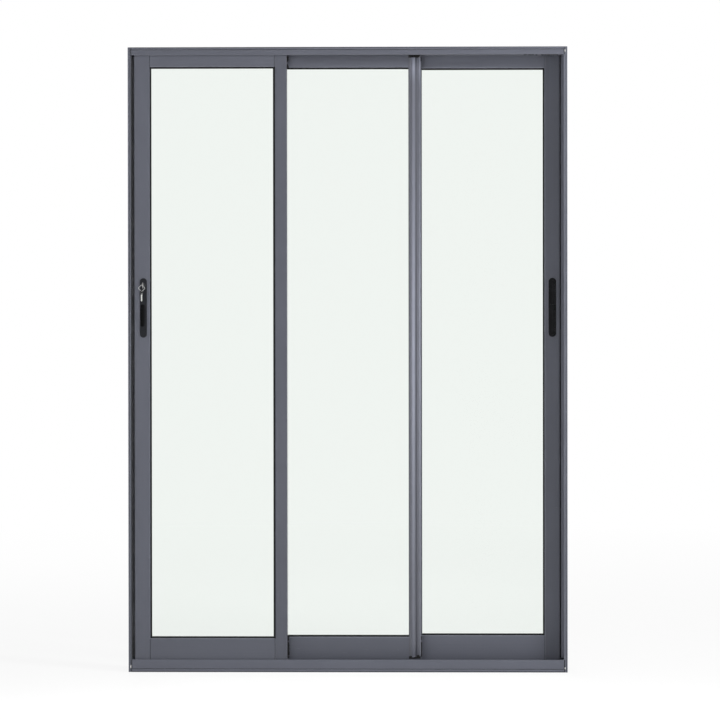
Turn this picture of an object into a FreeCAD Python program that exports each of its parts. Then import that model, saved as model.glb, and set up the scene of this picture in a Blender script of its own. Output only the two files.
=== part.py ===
"""Three-panel sliding glass patio door, built piece by piece in millimetres.

The origin lies on the underside of the sill, at the middle of the frame. X runs to the right,
Y runs to the back and Z runs up, so the front of the door faces -Y. The three panels stand
slightly ajar, each in a lane of its own: the left one in front, the right one at the back.
"""

import FreeCAD, Part
import math
import os
import re
import Sketcher
from FreeCAD import Placement, Rotation, Vector

# Driving sizes

SIZES = [
    ("frame_width", 1500, "outside width of the frame"),
    ("frame_height", 2135, "outside height of the frame"),
    ("frame_wall", 2, "wall of the frame extrusions"),
    ("cut_over", 1, "overshoot of cuts past a face"),
    ("track_pitch", 44, "distance between neighbouring lanes"),
    ("lane_gap", 6, "gap between a panel's face and the frame lip beside it"),
    ("sill_lip", 43, "height of the sill's front and rear lips"),
    ("head_lip", 27, "height of the head's front and rear lips"),
    ("head_rib", 24, "height of the ribs between the lanes of the head"),
    ("jamb_lip", 12, "depth of the jamb's front lip"),
    ("jamb_rear_lip", 19.5, "depth of the jamb's rear lip"),
    ("jamb_rib", 6, "depth of the ribs between the lanes of a jamb"),
    ("sill_line", 11, "height of the groove along the sill's lips"),
    ("head_line", 9, "drop of the groove along the head's lips"),
    ("jamb_line", 5.5, "inset of the groove along the jamb's lips"),
    ("line_depth", 1.2, "depth of these grooves"),
    ("line_width", 1.6, "width of these grooves"),
    ("track_top", 24, "height of the track rails"),
    ("track_width", 5, "width of the track rails"),
    ("fixing_radius", 4, "radius of the wall-fixing holes"),
    ("fixing_margin", 150, "distance of the fixing holes from the frame's ends"),
    ("panel_thickness", 28, "thickness of a panel"),
    ("panel_bottom", 12, "height of a panel's lower edge"),
    ("panel_top_gap", 7, "gap between a panel's upper edge and the head"),
    ("panel_wall", 1.8, "wall of the panel extrusions"),
    ("panel_overlap", 44, "overlap of neighbouring panels as they stand"),
    ("panel_ajar", 22, "distance of the outer panel edges from the frame's outer faces"),
    ("lock_stile", 52, "width of the stiles that carry a pull"),
    ("meeting_stile", 42, "width of the stiles where the left and the middle panel meet"),
    ("cover_stile", 38, "width of the stiles where the middle and the right panel meet"),
    ("top_rail", 58, "height of the top rails"),
    ("bottom_rail", 103, "height of the bottom rails"),
    ("guide_channel", 16, "depth of the open channel on a top rail"),
    ("roller_channel", 52, "depth of the open channel under a bottom rail"),
    ("sight_chamfer", 2, "chamfer of the panel extrusions beside the glass"),
    ("glazing_depth", 14, "depth of the glazing pocket"),
    ("hook_reach", 5, "projection of the interlocking hooks"),
    ("hook_length", 9, "length of the hooks' returned legs"),
    ("hook_end_gap", 6, "gap between the ends of the hooks and the frame lips"),
    ("track_gap", 5.5, "gap between a stile's notch and the track rail in it"),
    ("end_wall", 3, "thickness of the walls that close a lock stile's ends"),
    ("glass_thickness", 6, "thickness of a pane"),
    ("glass_bite", 10, "depth of a pane's edge in the pocket"),
    ("gasket_thickness", 13.6, "thickness of the glazing gasket"),
    ("gasket_bite", 12, "depth of the gasket in the pocket"),
    ("gasket_sight", 4, "width of the gasket seen beside the metal"),
    ("gasket_fit", 0.2, "clearance of the gasket in the pocket's mouth"),
    ("cover_inset", 1, "distance of the rounded cover from the stile's glass edge"),
    ("cover_flat", 3, "width of the flat strip left of the cover's bead"),
    ("cover_bead", 19, "width of the cover's bead"),
    ("cover_cove", 10, "width of the cove right of the bead"),
    ("cover_cove_radius", 11, "radius of the cove"),
    ("cover_lip", 3, "width of the lip right of the cove"),
    ("cover_flat_reach", 1.6, "projection of the flat strip"),
    ("cover_reach", 6, "projection of the bead"),
    ("cover_valley_reach", 2, "projection where the bead meets the cove"),
    ("cover_lip_reach", 4, "projection of the lip"),
    ("cover_slant", 6, "rise of the cover's slanted lower end"),
    ("wheel_radius", 14.5, "radius of a roller's flanges"),
    ("wheel_groove", 11, "radius at the bottom of a roller's groove"),
    ("wheel_width", 9.4, "width of a roller"),
    ("wheel_fit", 0.3, "gap between a roller's groove and its rail"),
    ("wheel_room", 1.5, "gap round a roller in its carriage"),
    ("wheel_side", 0.5, "gap beside a roller in its carriage"),
    ("axle_radius", 3, "radius of a roller's axle"),
    ("axle_fit", 0.2, "clearance of an axle in its carriage"),
    ("carriage_length", 62, "length of a roller carriage"),
    ("carriage_width", 18, "width of a roller carriage"),
    ("carriage_bottom", 28, "height of a carriage's lower edge"),
    ("carriage_corner", 8, "slanted corners of a carriage"),
    ("carriage_inset", 85, "distance of a carriage from the end of the rail"),
    ("lock_height", 1245, "height of the middle of the lock and the pulls"),
    ("plate_length", 203, "length of the lock plate and the pull plates"),
    ("plate_thickness", 2.4, "thickness of these plates"),
    ("plate_chamfer", 0.8, "chamfer round the front of these plates"),
    ("cup_depth", 10.4, "depth of the finger recesses behind the panel's face"),
    ("cup_wall", 1.5, "wall of the finger recesses"),
    ("cup_fit", 0.3, "clearance round the recesses in the stile"),
    ("lock_width", 24, "width of the lock plate"),
    ("lock_offset", 30, "distance of the lock plate from the stile's outer edge"),
    ("lock_recess_width", 14.5, "width of the lock's finger recess"),
    ("lock_recess_length", 77, "length of the lock's finger recess"),
    ("lock_recess_drop", 26, "drop of that recess below the plate's middle"),
    ("lock_recess_shift", 3, "shift of that recess toward the stile's outer edge"),
    ("pull_width", 26, "width of the plain pulls"),
    ("pull_offset", 25, "distance of the plain pulls from the stile's outer edge"),
    ("pull_recess_width", 18, "width of the plain pulls' recesses"),
    ("pull_recess_length", 84, "length of the plain pulls' recesses"),
    ("pull_bridge", 20, "bridge between the two recesses of a plain pull"),
    ("barrel_radius", 6, "radius of the lock barrel"),
    ("barrel_drop", 24.5, "distance of the lock barrel from the plate's upper end"),
    ("barrel_proud", 1.2, "projection of the barrel from the lock plate"),
    ("barrel_depth", 11, "depth of the barrel behind the panel's face"),
    ("barrel_fit", 0.15, "clearance round the barrel"),
    ("turn_radius", 5.5, "radius of the turn on the inside of the lock"),
    ("turn_proud", 0.8, "projection of the turn from its plate"),
    ("turn_depth", 8, "depth of the turn behind the panel's face"),
    ("turn_slot_width", 1.8, "width of the coin slot in the turn"),
    ("turn_slot_length", 8.5, "length of the coin slot"),
    ("turn_slot_depth", 1.6, "depth of the coin slot"),
    ("latch_length", 110, "length of the latch's faceplate"),
    ("latch_width", 16, "width of the latch's faceplate"),
    ("latch_thickness", 1.5, "thickness of the latch's faceplate"),
    ("latch_case_length", 64, "length of the latch's case"),
    ("latch_case_width", 11, "width of the latch's case"),
    ("latch_case_depth", 18, "depth of the latch's case in the stile"),
    ("latch_slot_length", 30, "length of the slot for the latch's hook"),
    ("latch_slot_width", 5, "width of the slot for the latch's hook"),
    ("latch_slot_depth", 12, "depth of that slot"),
    ("latch_hook_throat", 5, "depth of the hook's beak"),
    ("latch_hook_slant", 4, "slanted corner of the hook"),
    ("latch_fit", 0.3, "clearance round the latch's case and its hook"),
    ("key_thickness", 2, "thickness of the keys"),
    ("key_blade", 6.6, "width of the keys' blades"),
    ("key_entry", 7, "depth of the blade behind the panel's face"),
    ("key_fit", 0.2, "clearance of the blade in the keyway"),
    ("key_neck", 6, "length of the key's neck in front of the barrel"),
    ("bow_radius", 10, "half width of the key's bow"),
    ("bow_corner", 5, "slanted corners of the key's bow"),
    ("spare_bow_radius", 8, "half width of the spare key's bow"),
    ("spare_bow_corner", 4, "slanted corners of the spare key's bow"),
    ("spare_blade_length", 25, "length of the spare key's blade"),
    ("bow_hole", 4, "radius of the hole in the bows"),
    ("bow_edge", 2, "width of the bows beside that hole"),
    ("ring_size", 13, "half diagonal of the four-sided key ring, without its round corners"),
    ("ring_corner", 4, "outside radius of the key ring's corners"),
    ("ring_wire", 1.6, "thickness of the key ring's wire"),
    ("ring_shift", 3.9, "shift of the ring toward the stile's outer edge"),
    ("ring_fit", 0.5, "gap between the ring and the key it hangs from"),
    ("spare_fit", 0.8, "gap between the ring and the spare key"),
    ("tooth_pitch", 4.5, "distance between the teeth of the spare key"),
    ("tooth_depth", 1.5, "depth of these teeth"),
    ("keeper_length", 50, "length of the keeper plate"),
    ("keeper_width", 18, "width of the keeper plate"),
    ("keeper_thickness", 2, "thickness of the keeper plate"),
    ("keeper_slot_length", 26, "length of the keeper's slot"),
    ("keeper_slot_width", 8, "width of the keeper's slot"),
]

# Sizes that follow from the driving ones

FOLLOWING = [
    ("frame_depth", "2 * (track_pitch + panel_thickness / 2 + lane_gap + frame_wall)"),
    ("panel_top", "frame_height - frame_wall - panel_top_gap"),
    ("stiles_total", "2 * (lock_stile + meeting_stile + cover_stile)"),
    ("panels_total", "frame_width - 2 * panel_ajar + 2 * panel_overlap"),
    ("sight_width", "(panels_total - stiles_total) / 3"),
    ("sight_bottom", "panel_bottom + bottom_rail"),
    ("sight_top", "panel_top - top_rail"),
    ("side_centre", "frame_width / 2 - panel_ajar - lock_stile - sight_width / 2"),
    ("notch_width", "track_width + 2 * track_gap"),
    ("notch_height", "track_top + track_gap - panel_bottom"),
    ("hook_bottom", "sill_lip + hook_end_gap"),
    ("hook_top", "frame_height - head_lip - hook_end_gap"),
    ("face", "panel_thickness / 2"),
    ("inside", "face - panel_wall"),
    ("mouth", "gasket_thickness / 2 + gasket_fit"),
    ("wheel_slope", "2 * (wheel_radius - wheel_groove) / wheel_width"),
    ("groove_rise", "(track_width / 2 + wheel_fit) * sqrt(1 + wheel_slope ^ 2)"),
    ("axle_height", "track_top - track_width / 2 + groove_rise + wheel_groove"),
    ("carriage_top", "panel_bottom + roller_channel"),
    ("barrel_rise", "plate_length / 2 - barrel_drop"),
    ("barrel_height", "lock_height + barrel_rise"),
    ("lock_place", "sight_width / 2 + lock_stile - lock_offset"),
    ("pull_place", "sight_width / 2 + lock_stile - pull_offset"),
    ("barrel_front", "plate_thickness + barrel_proud"),
    ("key_front", "barrel_front + key_neck"),
    ("cover_width", "cover_flat + cover_bead + cover_cove + cover_lip"),
    ("cover_crown", "cover_reach - (cover_flat_reach + cover_valley_reach) / 2"),
    ("cover_bead_radius", "(cover_bead ^ 2 / 4 + cover_crown ^ 2) / (2 * cover_crown)"),
    ("bow_centre", "key_front + bow_radius"),
    ("ring_reach", "bow_centre + bow_radius - bow_hole - bow_edge"),
    ("ring_inner_size", "ring_size - ring_wire * sqrt(2)"),
    ("ring_inner_corner", "ring_corner - ring_wire"),
    ("ring_inner_reach", "ring_inner_size - ring_inner_corner * (sqrt(2) - 1)"),
    ("ring_hang", "ring_inner_size - ring_shift - key_thickness / 2"),
    ("ring_height", "barrel_height - bow_hole + ring_fit - ring_hang"),
    ("spare_height", "ring_height - ring_inner_reach - bow_hole + spare_fit"),
]

# Degrees by which the spare key hangs turned from the front, and the count of its teeth
SPARE_KEY_TURN = 65
SPARE_KEY_TEETH = 4

doc = FreeCAD.newDocument("sliding_door")
sheet_of = {}


def fill_sheet(name, rows):
    """Make one sheet from rows that start with an alias and a value."""
    sheet = doc.addObject("Spreadsheet::Sheet", name)
    for line, row in enumerate(rows, start=1):
        sheet.set("A%d" % line, row[0])
        sheet.set("B%d" % line, str(row[1]))
        if len(row) > 2:
            sheet.set("C%d" % line, row[2])
        sheet.setAlias("B%d" % line, row[0])
        sheet_of[row[0]] = name
    return sheet


def bound(text):
    """Turn a formula of plain size names into one that names their sheets."""
    def full_name(match):
        word = match.group(0)
        return "%s.%s" % (sheet_of[word], word) if word in sheet_of else word
    return re.sub(r"[a-z_]+", full_name, text)


sizes = fill_sheet("Sizes", SIZES)
for alias, formula in FOLLOWING:
    sheet_of[alias] = "Layout"
layout = fill_sheet("Layout", [(alias, "=" + bound(formula)) for alias, formula in FOLLOWING])
doc.recompute()


def number(text):
    """Give the present value of a formula."""
    return float(sizes.evalExpression(bound(text)))


# Sketching

class Half:
    """A half circle from one corner of an outline to the next."""

    radius = None


class Arc:
    """An arc of a set radius, turning left (1) or right (-1) from one corner to the next."""

    def __init__(self, radius, turn):
        self.radius = radius
        self.turn = turn


def arc_between(start, end, bend):
    """Give the arc for a bend and the ends of it that start and end the edge."""
    chord = end - start
    turn = 1
    offset = 0.0
    radius = chord.Length / 2
    if bend.radius:
        turn = bend.turn
        radius = number(bend.radius)
        offset = math.sqrt(radius ** 2 - (chord.Length / 2) ** 2)
    normal = Vector(-chord.y, chord.x, 0).normalize()
    centre = (start + end) * 0.5 + normal * (offset * turn)
    first, last = (start, end) if turn > 0 else (end, start)
    from_angle = math.atan2(first.y - centre.y, first.x - centre.x)
    to_angle = math.atan2(last.y - centre.y, last.x - centre.x)
    if to_angle <= from_angle:
        to_angle += 2 * math.pi
    circle = Part.Circle(centre, Vector(0, 0, 1), radius)
    ends = (1, 2) if turn > 0 else (2, 1)
    return Part.ArcOfCircle(circle, from_angle, to_angle), ends


def hold(sketch, kind, place, text):
    """Add a dimension and tie it to its formula."""
    dimension = sketch.addConstraint(Sketcher.Constraint(kind, *place, number(text)))
    sketch.setExpression("Constraints[%d]" % dimension, bound(text))


def trace(sketch, corners):
    """Draw a closed outline through corners (across, up, and a bend where one starts)."""
    points = [Vector(number(corner[0]), number(corner[1]), 0) for corner in corners]
    edges = []
    for place, corner in enumerate(corners):
        start = points[place]
        end = points[(place + 1) % len(points)]
        if len(corner) > 2:
            curve, ends = arc_between(start, end, corner[2])
        else:
            curve, ends = Part.LineSegment(start, end), (1, 2)
        edges.append((sketch.addGeometry(curve, False), *ends))
    for place, (edge, start, end) in enumerate(edges):
        following, following_start, _ = edges[(place + 1) % len(edges)]
        sketch.addConstraint(Sketcher.Constraint("Coincident", edge, end, following, following_start))
    for place, corner in enumerate(corners):
        edge, start, _ = edges[place]
        hold(sketch, "DistanceX", (edge, start), corner[0])
        hold(sketch, "DistanceY", (edge, start), corner[1])
        if len(corner) > 2 and corner[2].radius:
            hold(sketch, "Radius", (edge,), corner[2].radius)
        elif len(corner) > 2:
            chord = points[(place + 1) % len(points)] - points[place]
            level = abs(chord.x) > abs(chord.y)
            hold(sketch, "DistanceY" if level else "DistanceX", (edge, 3), corner[1 if level else 0])


def circle(sketch, across, up, radius):
    """Draw a circle with its centre and radius tied to formulas."""
    middle = Vector(number(across), number(up), 0)
    edge = sketch.addGeometry(Part.Circle(middle, Vector(0, 0, 1), number(radius)), False)
    hold(sketch, "DistanceX", (edge, 3), across)
    hold(sketch, "DistanceY", (edge, 3), up)
    hold(sketch, "Radius", (edge,), radius)


def rectangle(left, bottom, right, top):
    """Give the corners of a rectangle."""
    return [(left, bottom), (right, bottom), (right, top), (left, top)]


def slot(across, up, width, length):
    """Give the corners of an upright slot with round ends."""
    left = "%s - (%s) / 2" % (across, width)
    right = "%s + (%s) / 2" % (across, width)
    low = "%s - ((%s) - (%s)) / 2" % (up, length, width)
    high = "%s + ((%s) - (%s)) / 2" % (up, length, width)
    return [(right, low), (right, high, Half()), (left, high), (left, low, Half())]


# Bodies and features

def new_body(name, across="0", back="0", up="0", turn=0):
    """Make a body whose position follows three formulas, turned about the upright axis."""
    body = doc.addObject("PartDesign::Body", name)
    body.Label = name
    set_place(body, across, back, up, Rotation(Vector(0, 0, 1), turn))
    return body


def set_place(piece, across, back, up, rotation):
    """Place a piece by three formulas and a rotation."""
    piece.Placement = Placement(Vector(number(across), number(back), number(up)), rotation)
    for axis, text in zip("xyz", (across, back, up)):
        piece.setExpression("Placement.Base." + axis, bound(text))


def new_sketch(body, role, outlines, circles=(), offset=None):
    """Sketch outlines and circles on one of the body's own planes."""
    plane = [item for item in body.Origin.OriginFeatures if item.Role == role][0]
    sketch = body.newObject("Sketcher::SketchObject", body.Name + "_sketch")
    sketch.AttachmentSupport = [(plane, "")]
    sketch.MapMode = "FlatFace"
    if offset:
        sketch.setExpression("AttachmentOffset.Base.z", bound(offset))
    for outline in outlines:
        trace(sketch, outline)
    for item in circles:
        circle(sketch, *item)
    return sketch


def add(body, sketch, length, both=False, back=False):
    """Pad a sketch along its normal, against it or to both sides."""
    pad = body.newObject("PartDesign::Pad", body.Name + "_pad")
    pad.Profile = sketch
    pad.SideType = "Symmetric" if both else "One side"
    pad.Reversed = back
    pad.setExpression("Length", bound(length))
    return pad


def cut(body, sketch, depth, both=False, back=False, second=None):
    """Cut a sketch out of a body and make sure that it removes material."""
    doc.recompute()
    before = body.Shape.Volume
    pocket = body.newObject("PartDesign::Pocket", body.Name + "_pocket")
    pocket.Profile = sketch
    pocket.SideType = "Symmetric" if both else "One side"
    if second:
        pocket.SideType = "Two sides"
        pocket.setExpression("Length2", bound(second))
    pocket.Reversed = back
    pocket.setExpression("Length", bound(depth))
    doc.recompute()
    if body.Shape.Volume > before - 0.01:
        raise ValueError("a cut in %s removes nothing" % body.Label)
    return pocket


def spin(body, sketch, axis):
    """Turn a sketch all the way round one of its own axes."""
    turned = body.newObject("PartDesign::Revolution", body.Name + "_turned")
    turned.Profile = sketch
    turned.ReferenceAxis = (sketch, [axis])
    turned.Angle = 360
    return turned


def chamfer_front(body, plate):
    """Chamfer the rim of a plate's front face."""
    doc.recompute()
    front = min(plate.Shape.Faces, key=lambda face: face.BoundBox.YMax)
    edges = []
    for place, edge in enumerate(plate.Shape.Edges, start=1):
        if any(edge.isSame(rim) for rim in front.OuterWire.Edges):
            edges.append("Edge%d" % place)
    chamfer = body.newObject("PartDesign::Chamfer", body.Name + "_chamfer")
    chamfer.Base = (plate, edges)
    chamfer.setExpression("Size", bound("plate_chamfer"))
    return chamfer


# Frame

pieces = []


def keep(piece):
    """Note a finished piece for the export."""
    pieces.append(piece)
    return piece


def notch_ends(body):
    """Notch the ends of the sill or head where the jambs' lips pass."""
    outlines = []
    for across in (-1, 1):
        for back, lip in ((-1, "jamb_lip"), (1, "jamb_rear_lip")):
            inner_across = "%d * (frame_width / 2 - %s)" % (across, lip)
            outer_across = "%d * (frame_width / 2 + cut_over)" % across
            inner_back = "%d * (frame_depth / 2 - frame_wall)" % back
            outer_back = "%d * (frame_depth / 2 + cut_over)" % back
            outlines.append(rectangle(inner_across, inner_back, outer_across, outer_back))
    cut(body, new_sketch(body, "XY_Plane", outlines), "2 * frame_height", both=True)


def lip_line(across, at, sign=1):
    """Give the corners of a groove that runs into a lip's face.

    The face lies at the first distance and the groove's middle at the second. The corners come
    in rising order of the second one, and the groove runs toward the middle of the frame.
    """
    deep = "%s - %d * line_depth" % (across, sign)
    low = "%s - line_width / 2" % at
    high = "%s + line_width / 2" % at
    return [(across, low), (deep, low), (deep, high), (across, high)]


def build_sill():
    """Build the sill: a flat base, two lips and a track rail under each lane."""
    half = "frame_depth / 2"
    corners = [("-" + half, "0"), (half, "0")]
    corners += lip_line(half, "sill_line")
    corners += [
        (half, "sill_lip"),
        (half + " - frame_wall", "sill_lip"),
        (half + " - frame_wall", "frame_wall"),
    ]
    for lane in (1, 0, -1):
        right = "%d * track_pitch + track_width / 2" % lane
        left = "%d * track_pitch - track_width / 2" % lane
        shoulder = "track_top - track_width / 2"
        corners += [(right, "frame_wall"), (right, shoulder, Half()), (left, shoulder), (left, "frame_wall")]
    corners += [
        ("-" + half + " + frame_wall", "frame_wall"),
        ("-" + half + " + frame_wall", "sill_lip"),
        ("-" + half, "sill_lip"),
    ]
    corners += reversed(lip_line("-" + half, "sill_line", -1))
    body = new_body("sill_track")
    add(body, new_sketch(body, "YZ_Plane", [corners]), "frame_width - 2 * frame_wall", both=True)
    notch_ends(body)
    return keep(body)


def build_head():
    """Build the head: a flat top, two lips and two ribs that part the lanes."""
    half = "frame_depth / 2"
    corners = [("-" + half, "0")]
    corners += reversed(lip_line("-" + half, "-head_line", -1))
    corners += [
        ("-" + half, "-head_lip"),
        ("-" + half + " + frame_wall", "-head_lip"),
        ("-" + half + " + frame_wall", "-frame_wall"),
        (half + " - frame_wall", "-frame_wall"),
        (half + " - frame_wall", "-head_lip"),
        (half, "-head_lip"),
    ]
    corners += lip_line(half, "-head_line")
    corners.append((half, "0"))
    body = new_body("head_track", up="frame_height")
    add(body, new_sketch(body, "YZ_Plane", [corners]), "frame_width - 2 * frame_wall", both=True)
    ribs = []
    for side in (-1, 1):
        middle = "%d * track_pitch / 2" % side
        left = middle + " - frame_wall / 2"
        right = middle + " + frame_wall / 2"
        ribs.append(rectangle(left, "-head_rib", right, "-frame_wall"))
    add(body, new_sketch(body, "YZ_Plane", ribs), "frame_width - 2 * jamb_rib", both=True)
    notch_ends(body)
    return keep(body)


def build_jamb(name, side):
    """Build a jamb: a web with two full-height lips, two low ribs and wall-fixing holes."""
    half = "frame_depth / 2"
    # The right jamb is the left one turned half round, so its lips change places
    first, second = ("jamb_lip", "jamb_rear_lip") if side < 0 else ("jamb_rear_lip", "jamb_lip")
    corners = [("0", "-" + half)]
    corners += [(at, across) for across, at in lip_line("-" + half, "jamb_line", -1)]
    corners += [
        (first, "-" + half),
        (first, "-" + half + " + frame_wall"),
        ("frame_wall", "-" + half + " + frame_wall"),
        ("frame_wall", half + " - frame_wall"),
        (second, half + " - frame_wall"),
        (second, half),
    ]
    corners += [(at, across) for across, at in reversed(lip_line(half, "jamb_line"))]
    corners.append(("0", half))
    body = new_body(name, across="%d * frame_width / 2" % side, turn=0 if side < 0 else 180)
    add(body, new_sketch(body, "XY_Plane", [corners]), "frame_height")
    ribs = []
    for lane in (-1, 1):
        low = "%d * track_pitch / 2 - frame_wall / 2" % lane
        high = "%d * track_pitch / 2 + frame_wall / 2" % lane
        ribs.append(rectangle("frame_wall", low, "jamb_rib", high))
    rib_sketch = new_sketch(body, "XY_Plane", ribs, offset="frame_wall")
    add(body, rib_sketch, "frame_height - 2 * frame_wall")
    holes = []
    for height in ("fixing_margin", "frame_height - fixing_margin"):
        for lane in ("-track_pitch", "track_pitch"):
            holes.append((lane, height, "fixing_radius"))
    cut(body, new_sketch(body, "YZ_Plane", [], holes), "frame_wall", back=True)
    return keep(body)


def build_keeper():
    """Build the keeper: a plate on the left jamb's web with a slot for the latch's hook."""
    body = new_body("left_keeper", "frame_wall - frame_width / 2", "-track_pitch", "barrel_height")
    plate = rectangle("-keeper_width / 2", "-keeper_length / 2", "keeper_width / 2", "keeper_length / 2")
    gap = slot("0", "0", "keeper_slot_width", "keeper_slot_length")
    add(body, new_sketch(body, "YZ_Plane", [plate, gap]), "keeper_thickness")
    return keep(body)


# Panels

def extrusion(width, channel, hook=0):
    """Give the outline and the hollow of a panel extrusion as pairs of distances.

    The first distance runs from the glass edge outward and the second through the panel.
    A channel opens the outer edge; a hook stands out of the front (-1) or rear (1) face.
    """
    outline = [
        ("sight_chamfer", "-face"),
        ("0", "-(face - sight_chamfer)"),
        ("0", "-mouth"),
        ("panel_wall", "-mouth"),
        ("panel_wall", "-inside"),
        ("glazing_depth", "-inside"),
        ("glazing_depth", "inside"),
        ("panel_wall", "inside"),
        ("panel_wall", "mouth"),
        ("0", "mouth"),
        ("0", "face - sight_chamfer"),
        ("sight_chamfer", "face"),
    ]
    if hook:
        outline += [
            (width + " - panel_wall", "face"),
            (width + " - panel_wall", "face + hook_reach - panel_wall"),
            (width + " - hook_length", "face + hook_reach - panel_wall"),
            (width + " - hook_length", "face + hook_reach"),
            (width, "face + hook_reach"),
        ]
    else:
        outline.append((width, "face"))
    if channel:
        outline += [
            (width, "inside"),
            ("%s - %s" % (width, channel), "inside"),
            ("%s - %s" % (width, channel), "-inside"),
            (width, "-inside"),
        ]
    outline.append((width, "-face"))
    start = "glazing_depth + panel_wall"
    end = "%s - %s" % (width, channel) if channel else width
    hollow = rectangle(start, "-inside", end + " - panel_wall", "inside")
    if hook < 0:
        outline = [(along, "-(%s)" % through) for along, through in outline]
    return outline, hollow


def trim_hook(body, side, hook):
    """Take the hook off the ends of a stile, where it would meet the frame's lips."""
    low = "%d * (face + hook_reach / 2)" % hook
    inner = "%d * (sight_width / 2 + meeting_stile - hook_length - cut_over)" % side
    outer = "%d * (sight_width / 2 + meeting_stile + cut_over)" % side
    ends = [
        rectangle(inner, "-cut_over", outer, "hook_bottom - panel_bottom"),
        rectangle(inner, "hook_top - panel_bottom", outer, "panel_top - panel_bottom + cut_over"),
    ]
    sketch = new_sketch(body, "XZ_Plane", ends, offset="-(%s)" % low)
    cut(body, sketch, "hook_reach", both=True)


class Panel:
    """One sliding panel in its lane, with its place in the frame given by formulas."""

    def __init__(self, name, across, lane):
        self.name = name
        self.across = across
        self.back = "%d * track_pitch" % lane

    def body(self, piece, up="0"):
        """Make a body at the panel's own middle."""
        return new_body("%s_%s" % (self.name, piece), self.across, self.back, up)

    def stile(self, piece, side, width, hook=0):
        """Build a full-height stile on the left (-1) or right (1) of the glass."""
        body = self.body(piece, "panel_bottom")
        outlines = []
        for loop in extrusion(width, None, hook):
            reach = "%d * (sight_width / 2 + %%s)" % side
            outlines.append([(reach % along, through) for along, through in loop])
        add(body, new_sketch(body, "XY_Plane", outlines), "panel_top - panel_bottom")
        if hook:
            trim_hook(body, side, hook)
        else:
            self.close_ends(body, outlines[1])
        notch = rectangle("-notch_width / 2", "-cut_over", "notch_width / 2", "notch_height")
        cut(body, new_sketch(body, "YZ_Plane", [notch]), "frame_width", both=True)
        return keep(body)

    def close_ends(self, body, hollow):
        """Close the hollow of a stile at its top and above the notch for the track."""
        for height in ("panel_top - panel_bottom - end_wall", "notch_height"):
            add(body, new_sketch(body, "XY_Plane", [hollow], offset=height), "end_wall")

    def rail(self, piece, edge, side, height, channel):
        """Build a rail that butts between the stiles, below (-1) or above (1) the glass."""
        body = self.body(piece)
        outlines = []
        for loop in extrusion(height, channel):
            outlines.append([(through, "%s + %d * (%s)" % (edge, side, along)) for along, through in loop])
        add(body, new_sketch(body, "YZ_Plane", outlines), "sight_width", both=True)
        return keep(body)

    def rails(self):
        """Build the top and the bottom rail."""
        self.rail("top_rail", "sight_top", 1, "top_rail", "guide_channel")
        self.rail("bottom_rail", "sight_bottom", -1, "bottom_rail", "roller_channel")

    def pane_outline(self, bite):
        """Give the rectangle of the sight size, larger by a bite on every side."""
        half = "sight_width / 2 + " + bite
        return rectangle("-(%s)" % half, "sight_bottom - " + bite, half, "sight_top + " + bite)

    def glazing(self):
        """Build the pane and the gasket that wraps its edge."""
        glass = doc.addObject("Part::Box", self.name + "_glass")
        glass.Label = self.name + "_glass"
        glass.setExpression("Length", bound("sight_width + 2 * glass_bite"))
        glass.setExpression("Width", bound("glass_thickness"))
        glass.setExpression("Height", bound("sight_top - sight_bottom + 2 * glass_bite"))
        across = "%s - sight_width / 2 - glass_bite" % self.across
        back = "%s - glass_thickness / 2" % self.back
        set_place(glass, across, back, "sight_bottom - glass_bite", Rotation())
        keep(glass)
        gasket = self.body("gasket")
        outline = self.pane_outline("gasket_bite")
        opening = self.pane_outline("(-gasket_sight)")
        add(gasket, new_sketch(gasket, "XZ_Plane", [outline, opening]), "gasket_thickness", both=True)
        groove = new_sketch(gasket, "XZ_Plane", [self.pane_outline("glass_bite")])
        cut(gasket, groove, "glass_thickness", both=True)
        keep(gasket)

    def rollers(self):
        """Build the two roller carriages in the bottom rail and their wheels."""
        carriages = []
        wheels = []
        for side, end in ((-1, "left"), (1, "right")):
            place = "%s + %d * (sight_width / 2 - carriage_inset)" % (self.across, side)
            carriages.append(build_carriage("%s_%s_carriage" % (self.name, end), place, self.back))
            wheels.append(build_wheel("%s_%s_wheel" % (self.name, end), place, self.back))
        for piece, links in (("carriages", carriages), ("wheels", wheels)):
            pair = doc.addObject("Part::Compound", "%s_%s" % (self.name, piece))
            pair.Label = "%s_%s" % (self.name, piece)
            pair.Links = links
            keep(pair)


def build_carriage(name, across, back):
    """Build one roller carriage: a housing with a gap for its wheel and slots for the axle."""
    body = new_body(name, across, back)
    half = "carriage_length / 2"
    side_view = [
        ("-%s + carriage_corner" % half, "carriage_bottom"),
        ("%s - carriage_corner" % half, "carriage_bottom"),
        (half, "carriage_bottom + carriage_corner"),
        (half, "carriage_top"),
        ("-" + half, "carriage_top"),
        ("-" + half, "carriage_bottom + carriage_corner"),
    ]
    add(body, new_sketch(body, "XZ_Plane", [side_view]), "carriage_width", both=True)
    reach = "wheel_radius + wheel_room"
    gap = rectangle("-(%s)" % reach, "carriage_bottom - cut_over", reach, "axle_height + " + reach)
    cut(body, new_sketch(body, "XZ_Plane", [gap]), "wheel_width + 2 * wheel_side", both=True)
    half_slot = "axle_radius + axle_fit"
    slot_top = "axle_height + " + half_slot
    slots = rectangle("-(%s)" % half_slot, "carriage_bottom - cut_over", half_slot, slot_top)
    cut(body, new_sketch(body, "XZ_Plane", [slots]), "carriage_width + cut_over", both=True)
    return body


def build_wheel(name, across, back):
    """Build one grooved roller with its axle."""
    body = new_body(name, across, back, "axle_height")
    section = [
        ("-carriage_width / 2", "0"),
        ("carriage_width / 2", "0"),
        ("carriage_width / 2", "axle_radius"),
        ("wheel_width / 2", "axle_radius"),
        ("wheel_width / 2", "wheel_radius"),
        ("0", "wheel_groove"),
        ("-wheel_width / 2", "wheel_radius"),
        ("-wheel_width / 2", "axle_radius"),
        ("-carriage_width / 2", "axle_radius"),
    ]
    spin(body, new_sketch(body, "YZ_Plane", [section]), "H_Axis")
    return body


# Lock, keys and pulls

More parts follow.
